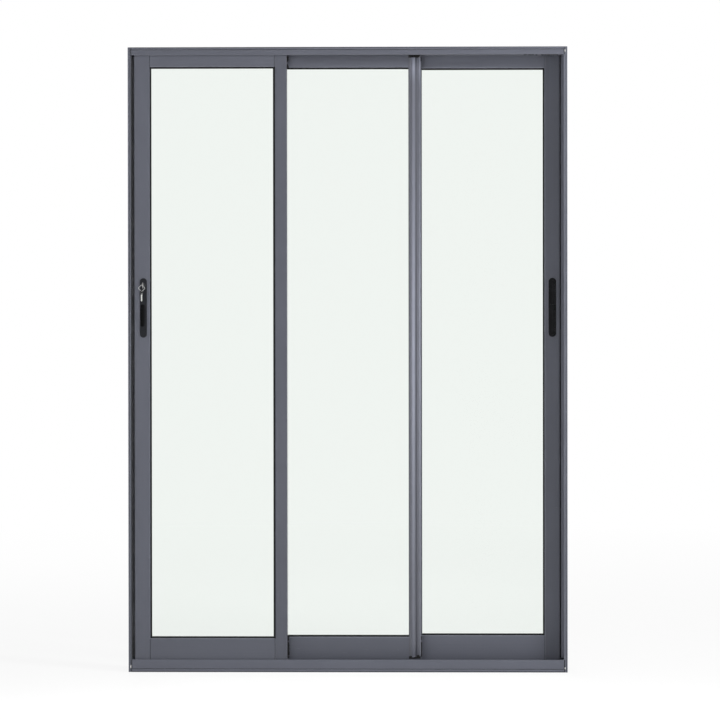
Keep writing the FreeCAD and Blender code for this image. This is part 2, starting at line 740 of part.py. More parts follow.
def build_pull(name, panel, side, facing):
    """Build a plain flush pull with two finger recesses, on the front (-1) or rear (1) face."""
    across = "%s + %d * pull_place" % (panel.across, side)
    back = "%s + %d * face" % (panel.back, facing)
    body = new_body(name, across, back, "lock_height", 0 if facing < 0 else 180)
    outline = slot("0", "0", "pull_width", "plate_length")
    chamfer_front(body, add(body, new_sketch(body, "XZ_Plane", [outline]), "plate_thickness"))
    add(body, new_sketch(body, "XZ_Plane", [pull_cup("0", "0", "0")]), "cup_depth + cup_wall", back=True)
    recesses = []
    half_width = "pull_recess_width / 2"
    for way in (-1, 1):
        near = "%d * pull_bridge / 2" % way
        far = "%d * (pull_bridge / 2 + pull_recess_length - %s)" % (way, half_width)
        right = "%d * %s" % (way, half_width)
        left = "%d * %s" % (-way, half_width)
        recesses.append([(right, near), (right, far, Half()), (left, far), (left, near)])
    sketch = new_sketch(body, "XZ_Plane", recesses)
    cut(body, sketch, "cup_depth", second="plate_thickness + cut_over")
    return keep(body)


def pull_cup(across, up, fit):
    """Give the outline of a plain pull's cup, larger by a fit."""
    width = "pull_recess_width + 2 * cup_wall + 2 * " + fit
    length = "2 * pull_recess_length + pull_bridge + 2 * cup_wall + 2 * " + fit
    return slot(across, up, width, length)


def lock_cup(across, up, fit):
    """Give the outline of the lock's cup, larger by a fit."""
    width = "lock_recess_width + 2 * cup_wall + 2 * " + fit
    length = "lock_recess_length + 2 * cup_wall + 2 * " + fit
    return slot(across, up + " - lock_recess_drop", width, length)


def build_lock_plate(name, panel, facing, hole_radius):
    """Build a lock plate with a finger recess and a hole above it, on the front or rear face."""
    across = "%s - lock_place" % panel.across
    back = "%s + %d * face" % (panel.back, facing)
    body = new_body(name, across, back, "lock_height", 0 if facing < 0 else 180)
    outline = slot("0", "0", "lock_width", "plate_length")
    hole = ("0", "barrel_rise", hole_radius + " + barrel_fit")
    chamfer_front(body, add(body, new_sketch(body, "XZ_Plane", [outline], [hole]), "plate_thickness"))
    shift = "%d * lock_recess_shift" % facing
    cup = lock_cup(shift, "0", "0")
    add(body, new_sketch(body, "XZ_Plane", [cup]), "cup_depth + cup_wall", back=True)
    recess = slot(shift, "-lock_recess_drop", "lock_recess_width", "lock_recess_length")
    sketch = new_sketch(body, "XZ_Plane", [recess])
    cut(body, sketch, "cup_depth", second="plate_thickness + cut_over")
    return keep(body)


def build_barrel(panel):
    """Build the lock barrel with its keyway, in the hole of the front lock plate."""
    across = "%s - lock_place" % panel.across
    back = "%s - face" % panel.back
    barrel = new_body("left_lock_barrel", across, back, "barrel_height")
    round_end = new_sketch(barrel, "XZ_Plane", [], [("0", "0", "barrel_radius")], offset="barrel_front")
    add(barrel, round_end, "barrel_front + barrel_depth", back=True)
    half_width = "key_thickness / 2 + key_fit"
    half_height = "key_blade / 2 + key_fit"
    keyway = rectangle("-(%s)" % half_width, "-(%s)" % half_height, half_width, half_height)
    entry = new_sketch(barrel, "XZ_Plane", [keyway], offset="barrel_front")
    cut(barrel, entry, "barrel_front + key_entry + key_fit")
    return keep(barrel)


def build_turn(panel):
    """Build the turn in the hole of the rear lock plate: a low round head with a coin slot."""
    across = "%s - lock_place" % panel.across
    back = "%s + face" % panel.back
    turn = new_body("left_inside_turn", across, back, "barrel_height", 180)
    front = "plate_thickness + turn_proud"
    head = new_sketch(turn, "XZ_Plane", [], [("0", "0", "turn_radius")], offset=front)
    add(turn, head, front + " + turn_depth", back=True)
    half_width = "turn_slot_width / 2"
    half_length = "turn_slot_length / 2"
    coin_slot = rectangle("-" + half_width, "-" + half_length, half_width, half_length)
    cut(turn, new_sketch(turn, "XZ_Plane", [coin_slot], offset=front), "turn_slot_depth")
    return keep(turn)


def build_latch(panel):
    """Build the latch in the outer edge of the lock stile, with its hook drawn back in the slot."""
    edge = "%s - sight_width / 2 - lock_stile" % panel.across
    body = new_body("left_latch", edge, panel.back, "barrel_height")
    plate = slot("0", "0", "latch_width", "latch_length")
    add(body, new_sketch(body, "YZ_Plane", [plate]), "latch_thickness", back=True)
    add(body, new_sketch(body, "YZ_Plane", [latch_case("0", "0", "0")]), "latch_case_depth")
    half_width = "latch_slot_width / 2"
    half_length = "latch_slot_length / 2"
    gap = rectangle("-" + half_width, "-" + half_length, half_width, half_length)
    sketch = new_sketch(body, "YZ_Plane", [gap])
    cut(body, sketch, "latch_slot_depth", back=True, second="latch_thickness + cut_over")
    low = "-(%s - latch_fit)" % half_length
    high = "%s - latch_fit" % half_length
    hook = [
        ("latch_slot_depth", low),
        ("latch_slot_depth", "0"),
        ("latch_hook_throat", "0"),
        ("latch_hook_throat", high),
        ("0", high),
        ("0", low + " + latch_hook_slant"),
        ("latch_hook_slant", low),
    ]
    add(body, new_sketch(body, "XZ_Plane", [hook]), "latch_slot_width - 2 * latch_fit", both=True)
    return keep(body)


def latch_case(across, up, fit):
    """Give the outline of the latch's case, larger by a fit."""
    half_width = "latch_case_width / 2 + " + fit
    half_length = "latch_case_length / 2 + " + fit
    return rectangle(
        "%s - (%s)" % (across, half_width), "%s - (%s)" % (up, half_length),
        "%s + %s" % (across, half_width), "%s + %s" % (up, half_length))


def bow_outline(across, up, radius, corner):
    """Give the corners of a key's bow: a square with slanted corners."""
    outline = []
    for first, second in ((1, -1), (1, 1), (-1, 1), (-1, -1)):
        inner = "(%s - %s)" % (radius, corner)
        side = ("%s + %d * %s" % (across, first, radius), "%s + %d * %s" % (up, second, inner))
        end = ("%s + %d * %s" % (across, first, inner), "%s + %d * %s" % (up, second, radius))
        outline += [side, end] if first == second else [end, side]
    return outline


def ring_outline(size, corner):
    """Give a four-sided loop that stands on a corner, with round corners."""
    inset = "%s / sqrt(2)" % corner
    reach = "(%s - %s)" % (size, inset)
    bend = Arc(corner, 1)
    return [
        (reach, "-" + inset, bend), (reach, inset),
        (inset, reach, bend), ("-" + inset, reach),
        ("-" + reach, inset, bend), ("-" + reach, "-" + inset),
        ("-" + inset, "-" + reach, bend), (inset, "-" + reach),
    ]


def build_keys(panel):
    """Build the key in the lock, and the ring with the spare key that hangs from it."""
    across = "%s - lock_place" % panel.across
    back = "%s - face" % panel.back
    key = new_body("left_key", across, back, "barrel_height")
    bow = bow_outline("-bow_centre", "0", "bow_radius", "bow_corner")
    hole = ("-ring_reach", "0", "bow_hole")
    add(key, new_sketch(key, "YZ_Plane", [bow], [hole]), "key_thickness", both=True)
    blade = rectangle("-(key_front + bow_edge)", "-key_blade / 2", "key_entry", "key_blade / 2")
    add(key, new_sketch(key, "YZ_Plane", [blade]), "key_thickness", both=True)
    keep(key)
    ring_across = across + " - ring_shift"
    ring_back = "%s - ring_reach" % back
    ring = new_body("left_key_ring", ring_across, ring_back, "ring_height")
    loops = [ring_outline("ring_size", "ring_corner"), ring_outline("ring_inner_size", "ring_inner_corner")]
    add(ring, new_sketch(ring, "XZ_Plane", loops), "ring_wire", both=True)
    keep(ring)
    spare = new_body("left_spare_key", ring_across, ring_back, "spare_height", SPARE_KEY_TURN)
    drop = "-(spare_bow_radius - bow_hole - bow_edge)"
    bow = bow_outline("0", drop, "spare_bow_radius", "spare_bow_corner")
    hole = ("0", "0", "bow_hole")
    add(spare, new_sketch(spare, "XZ_Plane", [bow], [hole]), "key_thickness", both=True)
    shoulder = "-(2 * spare_bow_radius - bow_hole - 2 * bow_edge)"
    tip = shoulder + " - spare_blade_length"
    blade = [("-key_blade / 2", shoulder), ("-key_blade / 2", tip + " + key_blade / 2"), ("0", tip)]
    for tooth in range(SPARE_KEY_TEETH):
        root = tip + " + key_blade / 2 + %d * tooth_pitch" % tooth
        blade.append(("key_blade / 2", root))
        blade.append(("key_blade / 2 - tooth_depth", root + " + tooth_pitch / 2"))
    blade.append(("key_blade / 2", root + " + tooth_pitch"))
    blade.append(("key_blade / 2", shoulder))
    add(spare, new_sketch(spare, "XZ_Plane", [blade]), "key_thickness", both=True)
    keep(spare)


def cut_lock_stile(body, front, rear):
    """Cut the openings for the pulls into the front and rear walls of a lock stile."""
    for openings, facing in ((front, -1), (rear, 1)):
        outlines, circles = openings
        sketch = new_sketch(body, "XZ_Plane", outlines, circles)
        cut(body, sketch, "face", back=facing < 0)


def build_cover(panel):
    """Build the rounded cover on the front of the middle panel's right stile."""
    cover = panel.body("interlock_cover", "hook_bottom")
    start = "sight_width / 2 + cover_inset"
    bead_start = start + " + cover_flat"
    cove_start = bead_start + " + cover_bead"
    lip_start = cove_start + " + cover_cove"
    end = start + " + cover_width"
    outline = [
        (start, "-face"),
        (start, "-(face + cover_flat_reach)"),
        (bead_start, "-(face + cover_flat_reach)", Arc("cover_bead_radius", 1)),
        (cove_start, "-(face + cover_valley_reach)", Arc("cover_cove_radius", -1)),
        (lip_start, "-(face + cover_lip_reach)"),
        (end, "-(face + cover_lip_reach)"),
        (end, "-face"),
    ]
    add(cover, new_sketch(cover, "XY_Plane", [outline]), "hook_top - hook_bottom")
    past = end + " + cut_over"
    slant = [(start, "0"), (past, "-cut_over"), (past, "cover_slant")]
    cut(cover, new_sketch(cover, "XZ_Plane", [slant]), "2 * panel_thickness", both=True)
    return keep(cover)


build_sill()
build_head()
build_jamb("left_jamb", -1)
build_jamb("right_jamb", 1)
build_keeper()

left = Panel("left", "-side_centre", -1)
middle = Panel("middle", "0", 0)
right = Panel("right", "side_centre", 1)

left_lock_stile = left.stile("lock_stile", -1, "lock_stile")
left.stile("meeting_stile", 1, "meeting_stile", hook=1)
middle.stile("left_stile", -1, "meeting_stile", hook=-1)
middle.stile("right_stile", 1, "cover_stile", hook=1)
right.stile("meeting_stile", -1, "cover_stile", hook=-1)
right_lock_stile = right.stile("lock_stile", 1, "lock_stile")

for panel in (left, middle, right):
    panel.rails()
    panel.glazing()
    panel.rollers()

build_cover(middle)

# The stiles' own heights start at the panel's lower edge
lift = "lock_height - panel_bottom"
lock_opening = [lock_cup("-lock_place - lock_recess_shift", lift, "cup_fit")]
barrel_opening = [("-lock_place", lift + " + barrel_rise", "barrel_radius + cup_fit")]
turn_opening = [("-lock_place", lift + " + barrel_rise", "turn_radius + cup_fit")]
pull_opening = [pull_cup("pull_place", lift, "cup_fit")]
cut_lock_stile(left_lock_stile, (lock_opening, barrel_opening), (lock_opening, turn_opening))
cut_lock_stile(right_lock_stile, (pull_opening, []), (pull_opening, []))
latch_opening = latch_case("0", lift + " + barrel_rise", "latch_fit")
outer_edge = "-(sight_width / 2 + lock_stile)"
latch_sketch = new_sketch(left_lock_stile, "YZ_Plane", [latch_opening], offset=outer_edge)
cut(left_lock_stile, latch_sketch, "panel_wall + cut_over", back=True)

build_lock_plate("left_lock_plate", left, -1, "barrel_radius")
build_barrel(left)
build_keys(left)
build_latch(left)
build_lock_plate("left_inside_plate", left, 1, "turn_radius")
build_turn(left)
build_pull("right_pull", right, 1, -1)
build_pull("right_inside_pull", right, 1, 1)

# Check and export

doc.recompute()
for item in doc.Objects:
    if "Invalid" in item.State or "Error" in item.State:
        raise ValueError("%s did not build: %s" % (item.Name, item.State))
os.makedirs("parts", exist_ok=True)
for piece in pieces:
    if piece.Shape.isNull() or not piece.Shape.isValid():
        raise ValueError("%s has no valid shape" % piece.Label)
    piece.Shape.exportStep("parts/%s.step" % piece.Label)
    box = piece.Shape.BoundBox
    print("%-24s solids %d  volume %.0f  x %.1f..%.1f  y %.1f..%.1f  z %.1f..%.1f" % (
        piece.Label, len(piece.Shape.Solids), piece.Shape.Volume,
        box.XMin, box.XMax, box.YMin, box.YMax, box.ZMin, box.ZMax))
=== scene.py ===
"""Looks of a three-panel sliding glass patio door.

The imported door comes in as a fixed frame. Each class below dresses one sub-assembly of it: the
door's own nodes get their finishes and fine edges, and the small pieces that ride on them are
built here, such as gasket beads, brush seals, screws and buffers. Sizes are in millimetres in
the frame's own axes: X to the right, Y to the back, Z up.
"""

import logging
import math
import random
from dataclasses import dataclass
from enum import Enum
from typing import Optional, Sequence, Union

import bmesh
import bpy
from mathutils import Matrix, Vector


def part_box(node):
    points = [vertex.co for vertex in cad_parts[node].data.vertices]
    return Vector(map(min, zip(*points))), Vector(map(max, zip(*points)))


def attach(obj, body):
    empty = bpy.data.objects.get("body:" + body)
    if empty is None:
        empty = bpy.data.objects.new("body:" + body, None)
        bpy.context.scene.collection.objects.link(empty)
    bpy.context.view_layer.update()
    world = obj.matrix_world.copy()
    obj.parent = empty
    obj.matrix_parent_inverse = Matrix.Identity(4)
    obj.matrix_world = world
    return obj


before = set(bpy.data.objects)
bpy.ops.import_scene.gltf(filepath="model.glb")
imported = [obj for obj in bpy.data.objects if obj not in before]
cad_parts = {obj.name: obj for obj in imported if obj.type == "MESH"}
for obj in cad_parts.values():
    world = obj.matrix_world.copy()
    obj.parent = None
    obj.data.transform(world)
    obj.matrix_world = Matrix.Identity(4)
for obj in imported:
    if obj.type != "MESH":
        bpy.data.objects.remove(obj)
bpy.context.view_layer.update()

MILLIMETRE = 0.001
LOG = logging.getLogger("patio_door")

# How far the outer panels' lanes lie before and behind the middle one
LANE = 44.0

# The way along X that a side looks, and the way along Y that a face looks, with their names
SIDES = ((-1, "left"), (1, "right"))
FACES = ((-1, "front"), (1, "rear"))

Point2 = tuple[float, float]
Point3 = tuple[float, float, float]
Colour = tuple[float, float, float]


class Body(Enum):
    """The moving bodies of the door."""

    FRAME = "frame"
    LEFT = "left_panel"
    MIDDLE = "middle_panel"
    RIGHT = "right_panel"


class Slot(Enum):
    """Names of the record's material slots for the small pieces."""

    FRAME_METAL = "frame_metal"
    PANEL_METAL = "panel_metal"
    RUBBER = "gasket_rubber"
    BLACK = "lock_black"
    KEY = "key_metal"
    KEEPER = "keeper_steel"


class Axis(Enum):
    """An axis of the frame, along which a form is drawn out or turned."""

    X = 0
    Y = 1
    Z = 2

    def place(self, along: float, across: float, up: float) -> Point3:
        """Return the point with the first measure on this axis.

        Args:
            along: measure on this axis.
            across: measure on the first of the other two axes.
            up: measure on the second of the other two axes.

        Returns:
            The point in X, Y, Z order.
        """
        rest = [across, up]
        rest.insert(self.value, along)
        return (rest[0], rest[1], rest[2])


class Run(Enum):
    """The way an extrusion runs, as noise scales per metre that draw streaks out along it."""

    UPRIGHT = (420.0, 420.0, 2.2)
    LEVEL = (2.2, 420.0, 420.0)


# Shader sums


class Value:
    """An output socket whose sums are written with the usual signs."""

    def __init__(self, graph: "ShaderGraph", socket: bpy.types.NodeSocket) -> None:
        """Keep the graph and the socket."""
        self.graph = graph
        self.socket = socket

    def _sum(self, operation: str, first: "Number", second: "Number") -> "Value":
        """Return the result of a new Math node with this operation."""
        return self.graph.node("ShaderNodeMath", {0: first, 1: second}, {"operation": operation})

    def __add__(self, other: "Number") -> "Value":
        """Return self + other."""
        return self._sum("ADD", self, other)

    def __radd__(self, other: float) -> "Value":
        """Return other + self."""
        return self._sum("ADD", other, self)

    def __sub__(self, other: "Number") -> "Value":
        """Return self - other."""
        return self._sum("SUBTRACT", self, other)

    def __rsub__(self, other: float) -> "Value":
        """Return other - self."""
        return self._sum("SUBTRACT", other, self)

    def __mul__(self, other: "Number") -> "Value":
        """Return self * other."""
        return self._sum("MULTIPLY", self, other)

    def most(self, other: "Number") -> "Value":
        """Return the larger of the two."""
        return self._sum("MAXIMUM", self, other)

    def slant(self, other: "Value") -> "Value":
        """Return the length whose two parts at right angles are self and other."""
        return self._sum("POWER", self * self + other * other, 0.5)

    def over(self, low: float, high: float) -> "Value":
        """Return how far the value is from low to high, held between 0 and 1."""
        share = (self - low) * (1.0 / (high - low))
        return self._sum("MINIMUM", share.most(0.0), 1.0)


Number = Union[float, Value]
Entry = Union[float, Sequence[float], Value]
Sockets = dict[Union[str, int], Entry]


class ShaderGraph:
    """A node tree, and the one way in which nodes are added to it."""

    def __init__(self, tree: bpy.types.NodeTree) -> None:
        """Start with an empty tree."""
        self.tree = tree
        tree.nodes.clear()

    def node(
        self,
        kind: str,
        sockets: Optional[Sockets] = None,
        settings: Optional[dict[str, str]] = None,
        output: Union[str, int] = 0,
    ) -> Optional[Value]:
        """Add one node.

        Args:
            kind: the node's type.
            sockets: a value or a link for each input, by name or number.
            settings: the node's own settings, which are set before its inputs.
            output: the output that is wanted.

        Returns:
            The wanted output, or None for a node without outputs.
        """
        made = self.tree.nodes.new(kind)
        for name, setting in (settings or {}).items():
            setattr(made, name, setting)
        for name, entry in (sockets or {}).items():
            if isinstance(entry, Value):
                self.tree.links.new(entry.socket, made.inputs[name])
            else:
                made.inputs[name].default_value = entry
        return Value(self, made.outputs[output]) if made.outputs else None

    def place(self) -> Value:
        """Return the place on the object, in metres."""
        return self.node("ShaderNodeTexCoord", output="Object")

    def measure(self, place: Value, axis: Axis) -> Value:
        """Return one measure of a place."""
        return self.node("ShaderNodeSeparateXYZ", {0: place}, output=axis.value)

    def facing(self, axis: Axis) -> Value:
        """Return how far the surface faces along an axis, from -1 to 1."""
        return self.measure(self.node("ShaderNodeNewGeometry", output="Normal"), axis)

    def noise(
        self, place: Value, scale: Union[float, Point3], detail: float = 2.0, rough: float = 0.5
    ) -> Value:
        """Add a noise.

        Args:
            place: where it is read.
            scale: its waves per unit of place, the same all ways or one for each axis.
            detail: its number of finer layers.
            rough: how strong those layers are.

        Returns:
            Its value, near 0.5 on average.
        """
        if isinstance(scale, tuple):
            place = self.node("ShaderNodeMapping", {"Vector": place, "Scale": scale})
            scale = 1.0
        sockets = {"Vector": place, "Scale": scale, "Detail": detail, "Roughness": rough}
        return self.node("ShaderNodeTexNoise", sockets)

    def mix(self, share: Number, first: Entry, second: Entry) -> Value:
        """Return the first colour with a share of the second; 6, 7 and 2 are the node's colours."""
        return self.node("ShaderNodeMix", {0: share, 6: first, 7: second}, {"data_type": "RGBA"}, 2)

    def relief(self, height: Value, depth: float) -> Value:
        """Return the normal of a height from 0 to 1, where 1 stands for a depth in millimetres."""
        sockets = {"Strength": 1.0, "Distance": depth * MILLIMETRE, "Height": height}
        return self.node("ShaderNodeBump", sockets)


def shade(colour: Colour, factor: float) -> tuple[float, float, float, float]:
    """Return a colour made lighter or darker by a factor, with full cover."""
    red, green, blue = (part * factor for part in colour)
    return (red, green, blue, 1.0)


# Finishes, whose noise scales are waves per metre and whose shares and ranges are given


@dataclass(frozen=True)
class Finish:
    """A surface finish: its name, its linear colour and its roughness."""

    name: str
    colour: Colour
    roughness: float

    def material(self) -> bpy.types.Material:
        """Make the finish's material at its first use.

        Returns:
            The material, which all pieces with this finish share.
        """
        made = bpy.data.materials.get(self.name)
        if made is None:
            made = bpy.data.materials.new(self.name)
            made.use_nodes = True
            graph = ShaderGraph(made.node_tree)
            graph.node("ShaderNodeOutputMaterial", {"Surface": self.shader(graph)})
        return made

    def shader(self, graph: ShaderGraph) -> Value:
        """Return the finish's shader."""
        return graph.node("ShaderNodeBsdfPrincipled", self.sockets(graph))

    def sockets(self, graph: ShaderGraph) -> Sockets:
        """Return what feeds the shader; each kind of finish has its own.

        Args:
            graph: the material's node tree.

        Returns:
            An entry for each socket of the shader.
        """
        raise NotImplementedError

    def tones(self, graph: ShaderGraph, share: Number, low: float, high: float) -> Value:
        """Return the finish's colour at a share of the way between two of its shades."""
        return graph.mix(share, shade(self.colour, low), shade(self.colour, high))


@dataclass(frozen=True)
class PowderCoat(Finish):
    """Baked grey powder coat on an extrusion: faint clouds, die streaks, orange peel and dust.

    Slanted faces such as chamfers get a painted highlight. A coat with a proud part, given by how far it
    stands forward, gets painted shade beside it and on its right-facing flank, and a painted highlight on it,
    strongest at mid height and near the top.
    """

    run: Run = Run.UPRIGHT
    wear: float = 0.0
    rub_and_sheen: float = 0.0
    shine: float = 0.34
    proud: Optional[Point2] = None
    # Heights in millimetres of the mid-height band and of the top where the proud part gets its painted
    # highlight
    highlight_low: Point2 = (300.0, 1000.0)
    highlight_high: Point2 = (1250.0, 1850.0)
    lit_top: Point2 = (2010.0, 2060.0)

    def sockets(self, graph: ShaderGraph) -> Sockets:
        """Return what feeds the coat's shader.

        Args:
            graph: the material's node tree.

        Returns:
            An entry for each socket of the shader.
        """
        place = graph.place()
        cloud = graph.noise(place, 2.6, 3.0)
        streak = graph.noise(place, self.run.value)
        speck = graph.noise(place, 1900.0, 1.0)
        peel = graph.noise(place, 480.0)
        tone = (cloud * 0.5 + streak * 0.3 + speck * 0.2 + self.wear).over(0.3, 0.7)
        coat = self.tones(graph, tone, 0.90, 1.10)
        patch = graph.noise(place, 31.0, 4.0, 0.62)
        dust = graph.facing(Axis.Z).over(0.55, 0.95) * patch.over(0.35, 0.75)
        dusty = graph.mix(dust * 0.45, coat, DUST)
        # Painted highlight: faces slanted halfway to the front, such as chamfers, are made lighter by the
        # coat's chamfer share
        forward = graph.facing(Axis.Y)
        slant = forward.most(forward * -1.0)
        chamfer = slant.over(0.55, 0.65) * (1.0 - slant.over(0.78, 0.88))
        bright = graph.mix(chamfer * self.rub_and_sheen, dusty, shade(self.colour, 1.9))
        scuff = graph.noise(place, (34.0, 34.0, 260.0)).over(0.71, 0.78)
        wear_and_light = graph.mix(scuff * 0.30, bright, shade(self.colour, 1.7))
        if self.proud is not None:
            wear_and_light = self.painted_light_on_proud(graph, place, wear_and_light)
        return {
            "Base Color": wear_and_light,
            "Roughness": self.roughness + (cloud - 0.5) * 0.10 + (streak - 0.5) * 0.08 + dust * 0.25,
            "Specular IOR Level": self.shine,
            "Normal": graph.relief(peel * 0.8 + speck * 0.2, 0.05),
        }

    def painted_light_on_proud(self, graph: ShaderGraph, place: Value, wear_and_light: Value) -> Value:
        """Paint shade beside the proud part and on its right-facing flank, and a painted highlight on it,
        strongest in a band at mid height and near the top.

        Args:
            graph: the material's node tree.
            place: the place on the object.
            wear_and_light: the coat's colour so far.

        Returns:
            The coat's colour.
        """
        reach = graph.measure(place, Axis.Y) * (-1.0 / MILLIMETRE)
        height = graph.measure(place, Axis.Z) * (1.0 / MILLIMETRE)
        highlight_band = height.over(*self.highlight_low) * (1.0 - height.over(*self.highlight_high))
        lit_top_share = height.over(*self.lit_top) * 0.8
        # Painted highlight on the proud part, painted shade beside it and on its right-facing flank
        painted_highlight = graph.mix(0.75, wear_and_light, self.tones(graph, highlight_band.most(lit_top_share), 1.6, 2.9))
        painted_shade = graph.mix(0.55, wear_and_light, shade(self.colour, 0.35))
        shaded_flank = graph.facing(Axis.X).over(0.08, 0.42)
        highlight_share = reach.over(*self.proud) * (1.0 - shaded_flank)
        return graph.mix(highlight_share, painted_shade, painted_highlight)


@dataclass(frozen=True)
class FloatGlass(Finish):
    """Clear float glass with its faint green cast, wiped nearly clean."""

    def shader(self, graph: ShaderGraph) -> Value:
        """Return the glass's shader, which lets lamps shine through.

        Args:
            graph: the material's node tree.

        Returns:
            The shader.
        """
        pane = super().shader(graph)
        clear = graph.node("ShaderNodeBsdfTransparent", {"Color": shade(self.colour, 1.0)})
        lamp_ray = graph.node("ShaderNodeLightPath", output="Is Shadow Ray")
        return graph.node("ShaderNodeMixShader", {0: lamp_ray, 1: pane, 2: clear})

    def sockets(self, graph: ShaderGraph) -> Sockets:
        """Return what feeds the pane's shader.

        Args:
            graph: the material's node tree.

        Returns:
            An entry for each socket of the shader.
        """
        film = graph.noise(graph.place(), (3.0, 3.0, 1.3), 4.0, 0.6).over(0.52, 0.80)
        return {
            "Base Color": self.tones(graph, film, 1.0, 1.004),
            "Roughness": self.roughness + film * 0.02,
            "IOR": 1.5,
            "Transmission Weight": 1.0,
        }


@dataclass(frozen=True)
class Rubber(Finish):
    """Black gasket rubber with a fine skin and a little bloom."""

    def sockets(self, graph: ShaderGraph) -> Sockets:
        """Return what feeds the rubber's shader.

        Args:
            graph: the material's node tree.

        Returns:
            An entry for each socket of the shader.
        """
        place = graph.place()
        skin = graph.noise(place, 2600.0)
        chalk = graph.noise(place, 24.0, 4.0, 0.6).over(0.45, 0.75)
        return {
            "Base Color": self.tones(graph, chalk * 0.6, 0.85, 1.7),
            "Roughness": self.roughness + chalk * 0.15 - skin * 0.06,
            "Specular IOR Level": 0.18,
            "Normal": graph.relief(skin, 0.03),
        }


@dataclass(frozen=True)
class Lacquer(Finish):
    """Black lacquer on the lock plates and pulls, with a fine grain and places lightened by rubbing.

    With a face, given by how far it stands forward, what lies behind the face is darkened with painted shade.
    """

    rub_and_sheen: float = 0.0
    face: Optional[float] = None

    def sockets(self, graph: ShaderGraph) -> Sockets:
        """Return what feeds the lacquer's shader.

        Args:
            graph: the material's node tree.

        Returns:
            An entry for each socket of the shader.
        """
        place = graph.place()
        grain = graph.noise(place, 1500.0)
        rub = (graph.noise(place, 46.0, 4.0, 0.6) + self.rub_and_sheen).over(0.48, 0.85)
        if self.face is None:
            colour = self.tones(graph, rub * 0.7, 0.9, 2.6)
        else:
            # Painted shade: what lies behind the plate's face, in its recesses, is darkened
            reach = graph.measure(place, Axis.Y) * (-1.0 / MILLIMETRE)
            wear_and_light = self.tones(graph, rub * 0.7, 1.9, 3.4)
            on_face = reach.over(self.face - 1.4, self.face - 0.3)
            colour = graph.mix(on_face, shade(self.colour, 0.4), wear_and_light)
        return {
            "Base Color": colour,
            "Roughness": self.roughness - rub * 0.12 + (grain - 0.5) * 0.12,
            "Specular IOR Level": 0.10,
            "Normal": graph.relief(grain, 0.03),
        }


@dataclass(frozen=True)
class TurnedMetal(Finish):
    """Satin metal with fine rings from turning, about an axis along Y."""

    middle: Point2 = (0.0, 0.0)

    def sockets(self, graph: ShaderGraph) -> Sockets:
        """Return what feeds the turned metal's shader.

        Args:
            graph: the material's node tree.

        Returns:
            An entry for each socket of the shader.
        """
        place = graph.place()
        across = graph.measure(place, Axis.X) - self.middle[0] * MILLIMETRE
        up = graph.measure(place, Axis.Z) - self.middle[1] * MILLIMETRE
        turns = across.slant(up) * 3800.0
        rings = graph.node("ShaderNodeTexNoise", {"W": turns}, {"noise_dimensions": "1D"})
        haze = graph.noise(place, 260.0, 3.0)
        return {
            "Base Color": self.tones(graph, rings * 0.6 + haze * 0.4, 0.82, 1.12),
            "Metallic": 1.0,
            "Roughness": self.roughness + (rings - 0.5) * 0.16 + (haze - 0.5) * 0.12,
            "Normal": graph.relief(rings, 0.02),
        }


@dataclass(frozen=True)
class BrushedMetal(Finish):
    """Bare or plated metal brushed one way, with scratches and dull spots."""

    brush: Point3 = (900.0, 900.0, 40.0)

    def sockets(self, graph: ShaderGraph) -> Sockets:
        """Return what feeds the brushed metal's shader.

        Args:
            graph: the material's node tree.

        Returns:
            An entry for each socket of the shader.
        """
        place = graph.place()
        lines = graph.noise(place, self.brush, 3.0, 0.65)
        dull = graph.noise(place, 190.0, 4.0, 0.6).over(0.50, 0.72)
        bright = self.tones(graph, lines, 0.80, 1.15)
        return {
            "Base Color": graph.mix(dull * 0.5, bright, shade(self.colour, 0.55)),
            "Metallic": 1.0 - dull * 0.25,
            "Roughness": self.roughness + (lines - 0.5) * 0.2 + dull * 0.2,
            "Normal": graph.relief(lines, 0.02),
        }


@dataclass(frozen=True)
class HeadedKey(BrushedMetal):
    """A plated key whose head, above a height, is moulded in black plastic."""

    head_low: float = 0.0
    head_colour: Colour = (0.012, 0.012, 0.014)

    def sockets(self, graph: ShaderGraph) -> Sockets:
        """Return what feeds the key's shader.

        Args:
            graph: the material's node tree.

        Returns:
            An entry for each socket of the shader.
        """
        place = graph.place()
        lines = graph.noise(place, self.brush, 3.0, 0.65)
        grain = graph.noise(place, 1700.0, 3.0)
        low = self.head_low * MILLIMETRE
        head = graph.measure(place, Axis.Z).over(low, low + 0.3 * MILLIMETRE)
        metal = self.tones(graph, lines, 0.82, 1.12)
        plastic = graph.mix(grain, shade(self.head_colour, 0.8), shade(self.head_colour, 1.3))
        return {
            "Base Color": graph.mix(head, metal, plastic),
            "Metallic": 1.0 - head,
            "Roughness": self.roughness + (lines - 0.5) * 0.2 + head * 0.2,
            "Normal": graph.relief(lines + (grain - lines) * head, 0.02),
        }


@dataclass(frozen=True)
class MouldedPlastic(Finish):
    """Moulded plastic with a fine spark-eroded grain and flow marks."""

    def sockets(self, graph: ShaderGraph) -> Sockets:
        """Return what feeds the plastic's shader.

        Args:
            graph: the material's node tree.

        Returns:
            An entry for each socket of the shader.
        """
        place = graph.place()
        grain = graph.noise(place, 1700.0, 3.0)
        flow = graph.noise(place, (14.0, 60.0, 60.0))
        return {
            "Base Color": self.tones(graph, flow * 0.7 + grain * 0.3, 0.86, 1.12),
            "Roughness": self.roughness + (grain - 0.5) * 0.14,
            "Normal": graph.relief(grain, 0.04),
        }


